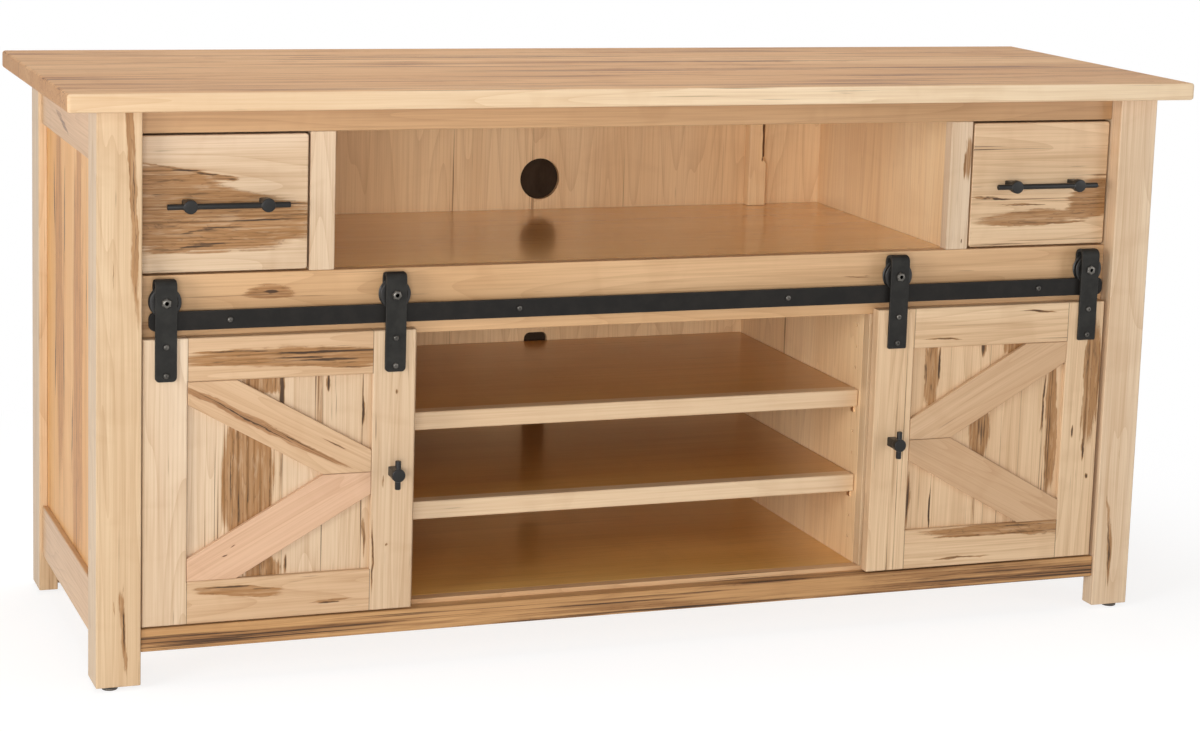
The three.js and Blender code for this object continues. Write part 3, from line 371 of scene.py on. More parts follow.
# Stains the eye finds first, by node: the axis looked along (a capital browns and leaves no dark core),
# place and half size in shares of the node's box as seen along that axis, turn in degrees, and lift
STAINS = {
    "drawer_left_front": (
        ("Y", 0.10, 0.62, 0.66, 0.20, -7, 0.36), ("Y", 0.40, 0.34, 0.95, 0.28, 2, 0.36),
        ("y", 0.36, 0.30, 0.5, 0.022, 4, 0.36),
        ("y", 0.28, 0.19, 0.42, 0.026, 5, 0.36), ("y", 0.40, 0.72, 0.36, 0.014, -8, 0.30),
        ("y", 0.52, 0.68, 0.12, 0.024, -6, 0.28), ("Y", 0.50, 1.0, 0.95, 0.2, 0, -0.4),
        ("y", 0.88, 0.47, 0.2, 0.012, 2, 0.26), ("y", 0.16, 0.55, 0.2, 0.016, -12, 0.24),
        ("y", 0.72, 0.36, 0.3, 0.012, 2, 0.30), ("Y", 0.60, 0.04, 0.7, 0.1, 0, -0.4),
        ("y", 0.12, 0.78, 0.2, 0.012, -9, 0.3),
    ),
    "drawer_right_front": (
        ("y", 0.12, 0.39, 0.17, 0.014, 0, 0.44), ("Y", 0.45, 0.22, 0.66, 0.10, 2, 0.36),
        ("Y", 0.92, 0.36, 0.24, 0.22, 10, 0.36), ("Y", 0.5, 0.8, 0.8, 0.3, 0, -0.4),
        ("y", 0.35, 0.34, 0.34, 0.014, -3, 0.26), ("y", 0.5, 0.17, 0.5, 0.013, 2, 0.3),
        ("y", 0.84, 0.28, 0.16, 0.02, 10, 0.28), ("y", 0.93, 0.47, 0.1, 0.014, 30, 0.26),
    ),
    "middle_rail": (
        ("y", 0.122, 0.72, 0.011, 0.055, 0, 0.5), ("Y", 0.12, 0.72, 0.03, 0.16, 0, 0.26),
        ("Y", 0.02, 0.25, 0.05, 0.14, 0, 0.24), ("y", 0.72, 0.6, 0.03, 0.03, 0, 0.22),
    ),
    "leg_front_left": (
        ("Y", 0.70, 1.0, 0.13, 0.44, 2.6, 0.40), ("y", 0.80, 0.86, 0.03, 0.2, 2.6, 0.32),
        ("y", 0.76, 0.84, 0.03, 0.04, 2, 0.30),
        ("y", 0.62, 0.09, 0.045, 0.09, 2, 0.36), ("Y", 0.60, 0.09, 0.12, 0.12, 2, 0.24),
        ("y", 0.35, 0.14, 0.03, 0.03, 2, 0.32), ("y", 0.4, 0.72, 0.02, 0.05, 3, 0.24),
    ),
    "leg_front_right": (
        ("y", 0.40, 0.125, 0.05, 0.12, 6.4, 0.36), ("Y", 0.42, 0.13, 0.1, 0.14, 6.4, 0.24),
        ("y", 0.55, 0.3, 0.03, 0.03, 3, 0.24),
    ),
    "drawer_stile_right": (("Y", 0.85, 0.72, 0.3, 0.3, 0, 0.31), ("y", 0.75, 0.05, 0.06, 0.03, 0, 0.34)),
    "drawer_stile_left": (("y", 0.5, 0.5, 2.0, 1.0, 0, -0.2),),
    "end_stile_left": (("y", 0.5, 0.5, 2.0, 1.0, 0, -0.2),),
    "door_left_frame": (
        ("y", 0.157, 0.10, 0.007, 0.10, 0, 0.4), ("y", 0.847, 0.20, 0.007, 0.2, 0, 0.36),
        ("y", 0.933, 0.785, 0.016, 0.022, 0, 0.36), ("y", 0.89, 0.46, 0.006, 0.045, 0, 0.4),
        ("y", 0.905, 0.235, 0.012, 0.014, 0, 0.32), ("y", 0.99, 0.94, 0.012, 0.07, 0, 0.3),
    ),
    "door_left_frame_rails": (
        ("Y", 0.56, 0.918, 0.56, 0.054, -2, 0.36), ("y", 0.66, 0.915, 0.24, 0.010, -3, 0.36),
        ("y", 0.34, 0.950, 0.22, 0.008, -2, 0.34), ("y", 0.74, 0.884, 0.16, 0.009, -2, 0.38),
        ("y", 0.62, 0.938, 0.2, 0.008, -2, 0.36), ("y", 0.70, 0.902, 0.2, 0.007, -4, 0.34),
        ("y", 0.36, 0.113, 0.2, 0.011, -4, 0.42), ("Y", 0.34, 0.105, 0.22, 0.024, -4, 0.36),
        ("y", 0.70, 0.05, 0.14, 0.009, 2, 0.42),
    ),
    "door_left_panel": (
        ("Y", 0.34, 0.50, 0.17, 0.44, 0, 0.46), ("y", 0.25, 0.55, 0.014, 0.32, 2, 0.34),
        ("y", 0.44, 0.5, 0.02, 0.34, 0, 0.3), ("y", 0.35, 0.44, 0.016, 0.26, -2, 0.3),
        ("y", 0.30, 0.32, 0.01, 0.16, 1, 0.3),
        ("y", 0.51, 0.9, 0.02, 0.15, 0, 0.4), ("Y", 0.4, 0.95, 0.14, 0.08, 0, 0.36),
        ("y", 0.745, 0.94, 0.014, 0.06, 0, 0.44), ("y", 0.93, 0.8, 0.01, 0.07, 0, 0.36),
        ("y", 0.534, 0.07, 0.018, 0.09, 0, 0.4), ("Y", 0.42, 0.04, 0.13, 0.1, 0, 0.36),
        ("y", 0.94, 0.17, 0.014, 0.15, 0, 0.36), ("Y", 0.74, 0.4, 0.16, 0.35, 0, -0.15),
    ),
    "door_left_brace_upper": (
        ("Y", 0.37, 0.556, 0.74, 0.055, -28, 0.40), ("y", 0.30, 0.615, 0.56, 0.012, -28.4, 0.42),
        ("y", 0.46, 0.49, 0.50, 0.010, -27.6, 0.36), ("y", 0.80, 0.30, 0.2, 0.02, -28, 0.36),
    ),
    "door_left_brace_lower": (("y", 0.24, 0.34, 0.03, 0.01, 20, 0.4), ("y", 0.2, 0.26, 0.02, 0.008, 20, 0.4)),
    "door_right_frame": (
        ("y", 0.93, 0.75, 0.014, 0.16, 0, 0.36), ("Y", 0.955, 0.66, 0.05, 0.36, 0, 0.40),
        ("y", 0.965, 0.66, 0.01, 0.2, 0, 0.3), ("y", 0.89, 0.50, 0.008, 0.05, 0, 0.42),
        ("y", 0.96, 0.31, 0.014, 0.02, 0, 0.44), ("y", 0.945, 0.42, 0.006, 0.08, 0, 0.4),
    ),
    "door_right_frame_rails": (
        ("y", 0.72, 0.968, 0.13, 0.009, -6, 0.34), ("Y", 0.62, 0.128, 0.56, 0.036, -1, 0.42),
        ("y", 0.66, 0.135, 0.26, 0.009, -3, 0.34), ("y", 0.50, 0.118, 0.24, 0.008, 0, 0.34),
        ("y", 0.42, 0.03, 0.24, 0.009, 1, 0.42), ("y", 0.3, 0.88, 0.14, 0.008, -3, 0.24),
    ),
    "door_right_panel": (
        ("y", 0.2, 0.88, 0.014, 0.13, 0, 0.4), ("y", 0.475, 0.96, 0.03, 0.08, 0, 0.36),
        ("y", 0.48, 0.52, 0.045, 0.17, 0, 0.32), ("Y", 0.47, 0.54, 0.1, 0.24, 0, 0.42),
        ("y", 0.04, 0.18, 0.028, 0.22, 0, 0.32), ("Y", 0.92, 0.55, 0.045, 0.5, 1, 0.36),
        ("y", 0.94, 0.45, 0.016, 0.34, 1, 0.34), ("y", 0.86, 0.62, 0.012, 0.26, -2, 0.3),
        ("y", 0.18, 0.12, 0.01, 0.12, 0, 0.4), ("Y", 0.66, 0.97, 0.1, 0.08, 0, 0.34),
        ("y", 0.12, 0.85, 0.016, 0.2, 1, 0.36), ("Y", 0.16, 0.85, 0.05, 0.3, 0, 0.24),
    ),
    "side_panel_left": (
        ("X", 0.27, 0.62, 0.11, 0.62, 2, 0.30), ("X", 0.62, 0.5, 0.12, 0.9, -1, 0.26),
        ("X", 0.93, 0.4, 0.08, 0.7, 0, 0.28),
        ("x", 0.17, 0.82, 0.014, 0.16, 4, 0.42), ("x", 0.36, 0.76, 0.012, 0.2, -3, 0.42),
        ("x", 0.19, 0.48, 0.012, 0.2, -3, 0.40), ("x", 0.35, 0.44, 0.012, 0.18, 4, 0.40),
        ("x", 0.52, 0.3, 0.01, 0.14, 0, 0.36), ("x", 0.78, 0.66, 0.01, 0.12, 0, 0.36),
    ),
    "top": (
        ("z", 0.62, 0.62, 0.22, 0.008, 0, 0.36), ("z", 0.70, 0.44, 0.25, 0.007, 0, 0.34),
        ("z", 0.45, 0.76, 0.2, 0.009, 0, 0.3), ("z", 0.78, 0.25, 0.18, 0.006, 0, 0.34),
        ("z", 0.32, 0.2, 0.18, 0.006, 0, 0.3), ("z", 0.88, 0.6, 0.12, 0.007, 0, 0.34),
        ("z", 0.15, 0.42, 0.12, 0.006, 0, 0.3), ("z", 0.55, 0.36, 0.16, 0.006, 0, 0.34),
        ("z", 0.86, 0.84, 0.14, 0.009, 0, 0.34), ("z", 0.2, 0.68, 0.14, 0.007, 0, 0.28),
        ("z", 0.6, 0.88, 0.26, 0.012, 0, 0.3), ("z", 0.64, 0.53, 0.1, 0.006, 0, 0.34),
    ),
    "side_rail_top_left": (("x", 0.45, 0.3, 0.16, 0.05, -12, 0.4), ("X", 0.45, 0.3, 0.2, 0.12, -12, 0.29)),
    "back_batten": (("y", 0.93, 0.72, 0.2, 0.36, 0, 0.5), ("y", 0.8, 0.32, 0.12, 0.04, 0, 0.35)),
}


# How the outlines of placed stains waver: scales of the noise, its detail and roughness, and its reach
WAVE_SCALES, WAVE_DETAIL, WAVE_ROUGH, WAVE_REACH = (5.0, 17.0, 17.0), 5.0, 0.68, 0.026
# Half size of a stain along the axis looked along, far more than any board
THROUGH = 100.0


def lifted(tree, place, vector, node, part=""):
    """Sums of the dark and of the brown stains placed on a node, with their outlines wavering a little"""
    low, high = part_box(node)
    size = high - low
    wave = speckle(tree, vector, WAVE_SCALES, WAVE_DETAIL, WAVE_ROUGH, output="Color")
    centred = vectors(tree, "SUBTRACT", wave, (0.5, 0.5, 0.5))
    waver = put(tree, "ShaderNodeVectorMath", {0: centred, "Scale": WAVE_REACH}, operation="SCALE")
    waved = vectors(tree, "ADD", place, waver.outputs[0])
    totals = {}
    for kind, u, v, half_u, half_v, turn, lift in STAINS.get(node + part, ()):
        angle, axis, brown = math.radians(turn), kind.lower(), kind.isupper()
        if axis == "y":
            where = (low.x + u * size.x, 0.0, low.z + v * size.z)
            radii, angles = (half_u * size.x, THROUGH, half_v * size.z), (0.0, -angle, 0.0)
        elif axis == "x":
            where = (0.0, high.y - u * size.y, low.z + v * size.z)
            radii, angles = (THROUGH, half_u * size.y, half_v * size.z), (-angle, 0.0, 0.0)
        else:
            where = (low.x + u * size.x, low.y + v * size.y, 0.0)
            radii, angles = (half_u * size.x, half_v * size.y, THROUGH), (0.0, 0.0, angle)
        values = {"Vector": waved, "Location": where, "Rotation": angles, "Scale": radii}
        local = put(tree, "ShaderNodeMapping", values, vector_type="TEXTURE").outputs[0]
        reach = vectors(tree, "LENGTH", local, output="Value")
        flat = 0.35 if brown else 0.0
        fade = put(
            tree, "ShaderNodeMapRange",
            {"Value": reach, "From Min": flat, "From Max": 1.05, "To Min": 1.3 * lift, "To Max": 0.0},
            interpolation_type="SMOOTHSTEP",
        ).outputs["Result"]
        totals[brown] = plus(tree, totals[brown], fade) if brown in totals else fade
    return totals.get(False, 0.0), totals.get(True, 0.0)


def laid(tree, place, angles, offset):
    """Object coordinates turned so that the grain runs along X"""
    values = {"Vector": place, "Rotation": angles, "Location": offset}
    return put(tree, "ShaderNodeMapping", values, vector_type="POINT").outputs[0]


def shifted_where(tree, vector, switch, x, y):
    """A vector, moved to another part of the grain where a switch is on"""
    values = {0: times(tree, switch, x), 1: times(tree, switch, y)}
    return vectors(tree, "ADD", vector, put(tree, "ShaderNodeCombineXYZ", values).outputs[0])


def planked(tree, planks, parts, vector, seed, pale, tan):
    """Boards side by side, each with its own grain and paleness: vector, pale colour and seams"""
    axis, width, start = planks
    run = maths(tree, "DIVIDE", minus(tree, parts["XYZ".index(axis)], start), width)
    run = plus(tree, run, times(tree, maths(tree, "SINE", times(tree, run, 2.3)), 0.28))
    board = plus(tree, maths(tree, "FLOOR", run), seed)
    chance = put(tree, "ShaderNodeTexWhiteNoise", {"W": board}, noise_dimensions="1D").outputs
    jump = vectors(tree, "MULTIPLY", chance["Color"], (3.0, 5.0, 7.0))
    near = maths(tree, "ABSOLUTE", minus(tree, maths(tree, "FRACT", run), 0.5))
    seam = times(tree, ramp(tree, near, 0.5 - 0.0012 / width, 0.5 - 0.0002 / width), 0.4)
    return vectors(tree, "ADD", vector, jump), blend(tree, times(tree, chance["Value"], 0.7), pale, tan), seam


def framed(tree, node, joints, place, parts, vector, seed, stains, pale, tan):
    """Rails between two stiles: the vector, the stains, the two wood colours and the joint lines"""
    left, right, low, high, rail_tone, deeper = joints
    x, z = parts[0], parts[2]
    inside = times(tree, maths(tree, "GREATER_THAN", x, left), maths(tree, "LESS_THAN", x, right))
    upper = maths(tree, "GREATER_THAN", z, (low + high) / 2)
    righter = maths(tree, "GREATER_THAN", x, (left + right) / 2)
    rail = shifted_where(tree, laid(tree, place, GRAIN_TURNS["x"], (seed, 3.1, 1.7)), upper, 2.3, 1.9)
    stile = shifted_where(tree, vector, righter, 4.3, 2.9)
    stains = [
        put(tree, "ShaderNodeMix", {0: inside, 2: on_stiles, 3: on_rails}).outputs[0]
        for on_stiles, on_rails in zip(stains, lifted(tree, place, rail, node, "_rails"))
    ]
    vector = put(tree, "ShaderNodeMix", {0: inside, 4: stile, 5: rail}, data_type="VECTOR").outputs[1]
    to_left, to_right = (maths(tree, "ABSOLUTE", minus(tree, x, edge)) for edge in (left, right))
    on_joint = maths(tree, "LESS_THAN", maths(tree, "MINIMUM", to_left, to_right), JOINT_LINE)
    beyond = maths(tree, "MAXIMUM", maths(tree, "LESS_THAN", z, low), maths(tree, "GREATER_THAN", z, high))
    seam = times(tree, times(tree, on_joint, beyond), 0.6)
    pale = blend(tree, times(tree, righter, deeper), pale, tan)
    colours = [blend(tree, inside, old, linear(*new)) for old, new in zip((pale, tan), TONES[rail_tone])]
    return vector, stains, colours, seam


def edged(tree, edging, parts, colours):
    """A front strip of its own tone, dimmed towards the left end: its mask and the four colours"""
    limit, strip_tone, dimmed = edging
    strip = maths(tree, "LESS_THAN", parts[1], limit)
    front = [linear(*colour) for colour in TONES[strip_tone]]
    dimming = times(tree, ramp(tree, parts[0], 0.25, -0.75), dimmed)
    front[:2] = [blend(tree, dimming, colour, front[2]) for colour in front[:2]]
    return strip, [blend(tree, strip, old, new) for old, new in zip(colours, front)]


def wood(node, tone, grain, seed=0.0, level=0.68, rings=0.24, strands=1.3, gloss=0.42, coat=0.12, shine=0.3,
         turn=None, planks=None, joints=None, pin_reach=None, edging=None):
    """Lacquered maple for a node, with its grain along an axis or at a turn of its own"""
    material, tree, place = new_material("finish_" + node)
    parts = put(tree, "ShaderNodeSeparateXYZ", {0: place}).outputs
    vector = laid(tree, place, turn or GRAIN_TURNS[grain], (seed * 1.37, seed * 0.71, seed * 0.53))
    stains = lifted(tree, place, vector, node)
    colours = [linear(*colour) for colour in TONES[tone]]
    seam = None
    if planks:
        vector, colours[0], seam = planked(tree, planks, parts, vector, seed, *colours[:2])
    if joints:
        vector, stains, colours[:2], seam = framed(
            tree, node, joints, place, parts, vector, seed, stains, *colours[:2]
        )

    # End grain shows fewer stains and is darker all over
    normal = put(tree, "ShaderNodeNewGeometry").outputs["True Normal"]
    facing = vectors(tree, "DOT_PRODUCT", normal, GRAIN_AXES[grain], output="Value")
    end_grain = maths(tree, "GREATER_THAN", maths(tree, "ABSOLUTE", facing), 0.8)
    limit = plus(tree, level, times(tree, end_grain, 0.16))
    if edging:
        strip, colours = edged(tree, edging, parts, colours)
        limit = plus(tree, limit, times(tree, strip, 0.15))
    dark, brown = stains
    values = dict(zip(COLOURS, colours)) | {
        "Vector": vector, "Rings": rings, "Strands": strands,
        "Level": minus(tree, limit, dark), "Brown": brown,
    }
    maple = put(tree, "ShaderNodeGroup", values, node_tree=bpy.data.node_groups["wormy_maple"]).outputs
    colour = blend(tree, times(tree, end_grain, 0.3), maple["Color"], colours[2])
    if seam is not None:
        colour = blend(tree, seam, colour, linear(*TONES[tone][3]))

    eased = put(tree, "ShaderNodeBevel", {"Radius": EASED_EDGE}, samples=4).outputs[0]
    values = {"Height": maple["Height"], "Strength": 0.25, "Distance": 0.0004, "Normal": eased}
    bump = put(tree, "ShaderNodeBump", values).outputs[0]
    rough = plus(tree, gloss - 0.05, times(tree, maple["Height"], 0.1))
    shader = close_material(tree, {
        "Base Color": colour, "Roughness": rough, "Normal": bump,
        "Coat Weight": coat, "Coat Roughness": 0.14, "IOR": 1.48, "Specular IOR Level": shine,
    })
    if pin_reach:
        pin = maths(tree, "LESS_THAN", maths(tree, "ABSOLUTE", parts[0]), pin_reach)
        tree.links.new(pin, shader.inputs["Metallic"])
    return material


# Screen colours of the coating's grit and of steel's lighter edges, partly bare steel where rubbed and partly
# painted highlight
GRIT_COLOUR, WORN_AND_HIGHLIT_COLOUR = (60, 57, 54), (140, 136, 130)
# Dark and light colour, roughness, share of lighter edges (wear and painted highlight), metallic share and
# specular level
STEELS = {
    "coated_steel": ((30, 29, 27), (43, 42, 39), 0.42, 0.5, 0.0, 0.15),
    "track_steel": ((19, 17, 15), (29, 26, 23), 0.42, 0.5, 0.0, 0.15),
    "wheel_steel": ((26, 25, 24), (40, 38, 36), 0.3, 0.9, 0.2, 0.4),
    "pull_steel": ((22, 21, 20), (30, 29, 28), 0.26, 0.8, 0.0, 0.28),
    "bright_steel": ((74, 71, 67), (112, 108, 102), 0.3, 0.7, 0.9, 0.5),
}


def steel(name, dark, light, gloss, wear_and_highlight, metallic, shine):
    """Coated steel: fine grain, and lighter edges that are partly rubbed bare and partly painted highlight"""
    _, tree, place = new_material(name)
    grit = speckle(tree, place, (1500.0,) * 3, 2.0, 0.6)
    cloud = speckle(tree, place, (45.0,) * 3, 3.0, 0.6)
    colour = blend(tree, ramp(tree, cloud, 0.35, 0.7), linear(*dark), linear(*light))
    colour = blend(tree, times(tree, grit, 0.25), colour, linear(*GRIT_COLOUR))
    normal = put(tree, "ShaderNodeNewGeometry").outputs["True Normal"]
    # Lighter edges: partly wear, partly painted highlight where the edges would catch the lamps
    bent = put(tree, "ShaderNodeBevel", {"Radius": WORN_AND_HIGHLIT_EDGE}, samples=4).outputs[0]
    along = vectors(tree, "DOT_PRODUCT", bent, normal, output="Value")
    turned = ramp(tree, minus(tree, 1.0, along), 0.02, 0.2)
    worn_and_highlit = times(tree, turned, ramp(tree, grit, 0.3, 0.7))
    colour = blend(tree, times(tree, worn_and_highlit, wear_and_highlight), colour, linear(*WORN_AND_HIGHLIT_COLOUR))
    bump = put(tree, "ShaderNodeBump", {"Height": grit, "Strength": 0.35, "Distance": 0.00015}).outputs[0]
    close_material(tree, {
        "Base Color": colour, "Roughness": plus(tree, gloss, times(tree, grit, 0.16)), "Normal": bump,
        "Metallic": metallic, "Specular IOR Level": shine,
    })


def crusted(name, scales, limits, dark, light, strength, distance, gloss):
    """A dark rough material whose colour, height and gloss follow one noise"""
    material, tree, place = new_material(name)
    crust = speckle(tree, place, scales, 4.0, 0.6)
    colour = blend(tree, ramp(tree, crust, *limits), linear(*dark), linear(*light))
    bump = put(tree, "ShaderNodeBump", {"Height": crust, "Strength": strength, "Distance": distance})
    rough = plus(tree, gloss, times(tree, crust, 0.3))
    close_material(tree, {"Base Color": colour, "Roughness": rough, "Normal": bump.outputs[0]})
    return material


def bark_edge():
    """The rough dark outside of the tree"""
    scales = (260.0, 260.0, 70.0)
    return crusted("bark_edge", scales, (0.35, 0.65), (66, 42, 24), (140, 98, 60), 0.6, 0.0008, 0.6)


def moulded_plastic():
    """Dark moulded plastic, scuffed under the foot"""
    scales = (300.0,) * 3
    return crusted("moulded_plastic", scales, (0.45, 0.75), (70, 64, 58), (104, 98, 90), 0.3, 0.0003, 0.35)


# ------------------------------------------------------------------ mesh helpers
def show(name, data):
    """A new object at the origin"""
    piece = bpy.data.objects.new(name, data)
    bpy.context.scene.collection.objects.link(piece)
    return piece


def settle(bm, name, material):
    """Turns a bmesh into an object at the origin, smooth but for its sharp edges"""
    bmesh.ops.remove_doubles(bm, verts=bm.verts, dist=1e-7)
    bmesh.ops.recalc_face_normals(bm, faces=bm.faces)
    for face in bm.faces:
        face.smooth = True
    for edge in bm.edges:
        edge.smooth = len(edge.link_faces) == 2 and edge.calc_face_angle() < SMOOTH_ANGLE
    mesh = bpy.data.meshes.new(name)
    bm.to_mesh(mesh)
    bm.free()
    mesh.materials.append(material)
    return show(name, mesh)


def rings(bm, loops, closed=False):
    """Skins closed loops of points in order, and joins the last to the first or else caps both ends"""
    rows = [[bm.verts.new(point) for point in loop] for loop in loops]
    count = len(rows[0])
    for first, second in zip(rows, rows[1:] + rows[:1] if closed else rows[1:]):
        for i in range(count):
            j = (i + 1) % count
            bm.faces.new((first[i], first[j], second[j], second[i]))
    if not closed:
        bm.faces.new(rows[0])
        bm.faces.new(rows[-1])


def lathe(bm, profile, matrix, steps=56, closed=False):
    """Turns a profile of (radius, place) about the matrix's Z axis"""
    angles = [math.tau * i / steps for i in range(steps)]
    rings(bm, [
        [matrix @ Vector((radius * math.cos(a), radius * math.sin(a), place)) for a in angles]
        for radius, place in profile
    ], closed)


def arc(centre, radius, start, end, steps):
    """Points of an arc in a plane, angles in quarter turns"""
    turn = math.pi / 2
    return [
        (centre[0] + radius * math.cos(turn * (start + (end - start) * i / steps)),
         centre[1] + radius * math.sin(turn * (start + (end - start) * i / steps)))
        for i in range(steps + 1)
    ]


def rounded(half_x, half_y, radius, steps=6):
    """A rectangle with round corners about the origin"""
    x, y = half_x - radius, half_y - radius
    points = []
    for (cx, cy), start in (((x, y), 0), ((-x, y), 1), ((-x, -y), 2), ((x, -y), 3)):
        points += arc((cx, cy), radius, start, start + 1, steps)
    return points


def slab(bm, loop, inner, edge, front, back):
    """A flat piece from an outline in (x, z), with its front and back edges broken"""
    rings(bm, [
        [Vector((x, y, z)) for x, z in points]
        for points, y in ((inner, front), (loop, front + edge), (loop, back - edge), (inner, back))
    ])


def axis_y(x, y, z):
    """A matrix whose Z axis is the world's +Y, at a place"""
    return Matrix.Translation((x, y, z)) @ Matrix.Rotation(-math.pi / 2, 4, "X")


def middle(node):
    """Middle, lowest and highest corner of a packed node"""
    low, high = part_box(node)
    return (low + high) / 2, low, high


def adopt(piece, body, slot, *nodes):
    """Lets a piece ride on its body and stand for packed nodes; its slot is not used"""
    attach(piece, body)
    if nodes:
        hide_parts(*nodes)


# ------------------------------------------------------------------ hardware
def track_axis():
    """Middle plane of the track, which the wheels straddle"""
    return middle("door_left_wheel_outer")[0].y


def make_hanger(name, settings, material, corner):
    """One strap bent over its wheel, with the axle and its nut"""
    side, end = name.split("_")[1], name.split("_")[-1]
    centre, low, high = middle(name)
    wheel = middle(f"door_{side}_wheel_{end}")[0]
    x, half = centre.x, (high.x - low.x) / 2
    outer = high.z
    reach = (wheel.y - low.y) - settings.head_height
    radius = reach - settings.thick / 2
    bend = outer - reach
    stations = []
    for point in arc((0.0, 0.0), corner, 3, 4, 6):
        stations.append((-radius, low.z + corner + point[1], math.pi, half - corner + point[0]))
    stations.append((-radius, bend, math.pi, half))
    for i in range(1, settings.bend_steps + 1):
        angle = math.pi * (1 - i / settings.bend_steps)
        top = bend + reach * math.sin(angle)
        near = max(0.0, settings.top_corner - (outer - top))
        narrow = settings.top_corner - math.sqrt(max(settings.top_corner ** 2 - near ** 2, 0.0))
        stations.append((radius * math.cos(angle), bend + radius * math.sin(angle), angle, half - narrow))
    stations.append((radius, wheel.z - settings.tail, 0.0, half))
    deep, edge = settings.thick / 2, settings.edge
    loops = []
    last = len(stations) - 1
    for i, (y, z, angle, width) in enumerate(stations):
        inset = edge if i in (0, last) else 0.0
        section = [
            (-width + inset, -deep + edge), (-width + edge, -deep + inset), (width - edge, -deep + inset),
            (width - inset, -deep + edge), (width - inset, deep - edge), (width - edge, deep - inset),
            (-width + edge, deep - inset), (-width + inset, deep - edge),
        ]
        loops.append([
            Vector((x + across, wheel.y + y + out * math.cos(angle), z + out * math.sin(angle)))
            for across, out in section
        ])
    bm = bmesh.new()
    rings(bm, loops)
    front, back = wheel.y - reach, wheel.y + reach
    axle = [(settings.axle_radius, 0.0), (settings.axle_radius, back - front)]
    lathe(bm, axle, axis_y(x, front, wheel.z), 24)
    wide, tall = settings.head_radius, settings.nut_thick
    nut = [(wide * 0.94, 0.0), (wide, tall * 0.2), (wide, tall * 0.8), (wide * 0.94, tall)]
    lathe(bm, nut, axis_y(x, back, wheel.z), 6)
    adopt(settle(bm, name + "_fine", material), f"door_{side}", "black_steel", name)


def make_wheel(name, settings, material):
    """One grooved wheel with round rims and hollowed sides"""
    _, side, _, end = name.split("_")
    centre, low, high = middle(name)
    radius, half = (high.z - low.z) / 2, (high.y - low.y) / 2
    rim, web, groove = settings.rim, settings.web, settings.groove / 2
    flange, hub_wall, slope, fillet = 0.0042, 0.0035, 0.0008, 0.0012
    inner, hub = radius - flange, settings.bore + hub_wall
    half_profile = [
        (settings.bore, 0.0), (settings.bore, half), (hub, half), (hub + slope, half - web),
        (inner - slope, half - web), (inner, half),
    ]
    half_profile += [(radius - rim + px, half - rim + py) for px, py in reversed(arc((0, 0), rim, 0, 1, 5))]
    half_profile += [
        (radius - 0.0007, groove + 0.0006), (radius - 0.0016, groove),
        (settings.tread + fillet, groove), (settings.tread, groove - fillet),
    ]
    profile = half_profile + [(r, -y) for r, y in reversed(half_profile[1:])]
    bm = bmesh.new()
    lathe(bm, profile, axis_y(centre.x, centre.y, centre.z), 72, closed=True)
    adopt(settle(bm, name + "_fine", material), f"door_{side}_roller_{end}", "black_steel", name)


def add_post(bm, settings, x, z, face, bar, front):
    """A square stem from the face at the back and the round head about the bar"""
    half = settings.stem / 2
    loop = [(x + px, z + pz) for px, pz in rounded(half, half, settings.stem_corner)]
    broken = 0.0003
    inner = [(x + px, z + pz) for px, pz in rounded(half - broken, half - broken, settings.stem_corner)]
    slab(bm, loop, inner, broken, bar, face)
    edge, radius = settings.head_edge, settings.head_radius
    profile = [(radius - edge + px, front + edge - py) for px, py in reversed(arc((0, 0), edge, 0, 1, 6))]
    tail = bar + settings.head_back
    profile += [(radius - edge + px, tail - edge + py) for px, py in arc((0, 0), edge, 0, 1, 6)]
    lathe(bm, profile, axis_y(x, 0.0, z), 56)


def make_pull(name, settings, material, body, upright):
    """A bar pull with two posts, or an upright bar knob with one"""
    centre, low, high = middle(name)
    half = (high.z - low.z if upright else high.x - low.x) / 2
    bar = low.y + BAR_DEPTH
    bm = bmesh.new()
    radius, edge = settings.bar_radius, settings.bar_edge
    end = arc((radius - edge, half - edge), edge, 0, 1, 4)
    profile = [(r, -p) for r, p in reversed(end)] + end
    turn = Matrix.Identity(4) if upright else Matrix.Rotation(math.pi / 2, 4, "Y")
    lathe(bm, profile, Matrix.Translation((centre.x, bar, centre.z)) @ turn, 40)
    for side in ((0,) if upright else (-1, 1)):
        add_post(bm, settings, centre.x + side * settings.pitch / 2, centre.z, high.y, bar, low.y)
    adopt(settle(bm, name + "_fine", material), body, "black_steel", name)


def make_track(settings, material):
    """The flat bar with round ends, on its standoffs"""
    centre, low, high = middle("track")
    bar = track_axis()
    half_x, half_z = (high.x - low.x) / 2, (high.z - low.z) / 2
    edge, deep = settings.edge, settings.thick / 2
    loop, inner = (
        [
            (centre.x + px, centre.z + pz)
            for px, pz in rounded(half_x - less, half_z - less, settings.corner - less, 10)
        ]
        for less in (0.0, edge)
    )
    bm = bmesh.new()
    slab(bm, loop, inner, edge, bar - deep, bar + deep)
    for x in bolt_places(settings):
        standoff = [(settings.standoff, 0.0), (settings.standoff, high.y - bar)]
        lathe(bm, standoff, axis_y(x, bar, centre.z), 32)
    adopt(settle(bm, "track_fine", material), "carcass", "black_steel", "track")


def bolt_places(settings):
    """Places of the track's bolts along X"""
    low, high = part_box("track")
    first, last = low.x + settings.inset, high.x - settings.inset
    return [first + (last - first) * i / (settings.bolts - 1) for i in range(settings.bolts)]


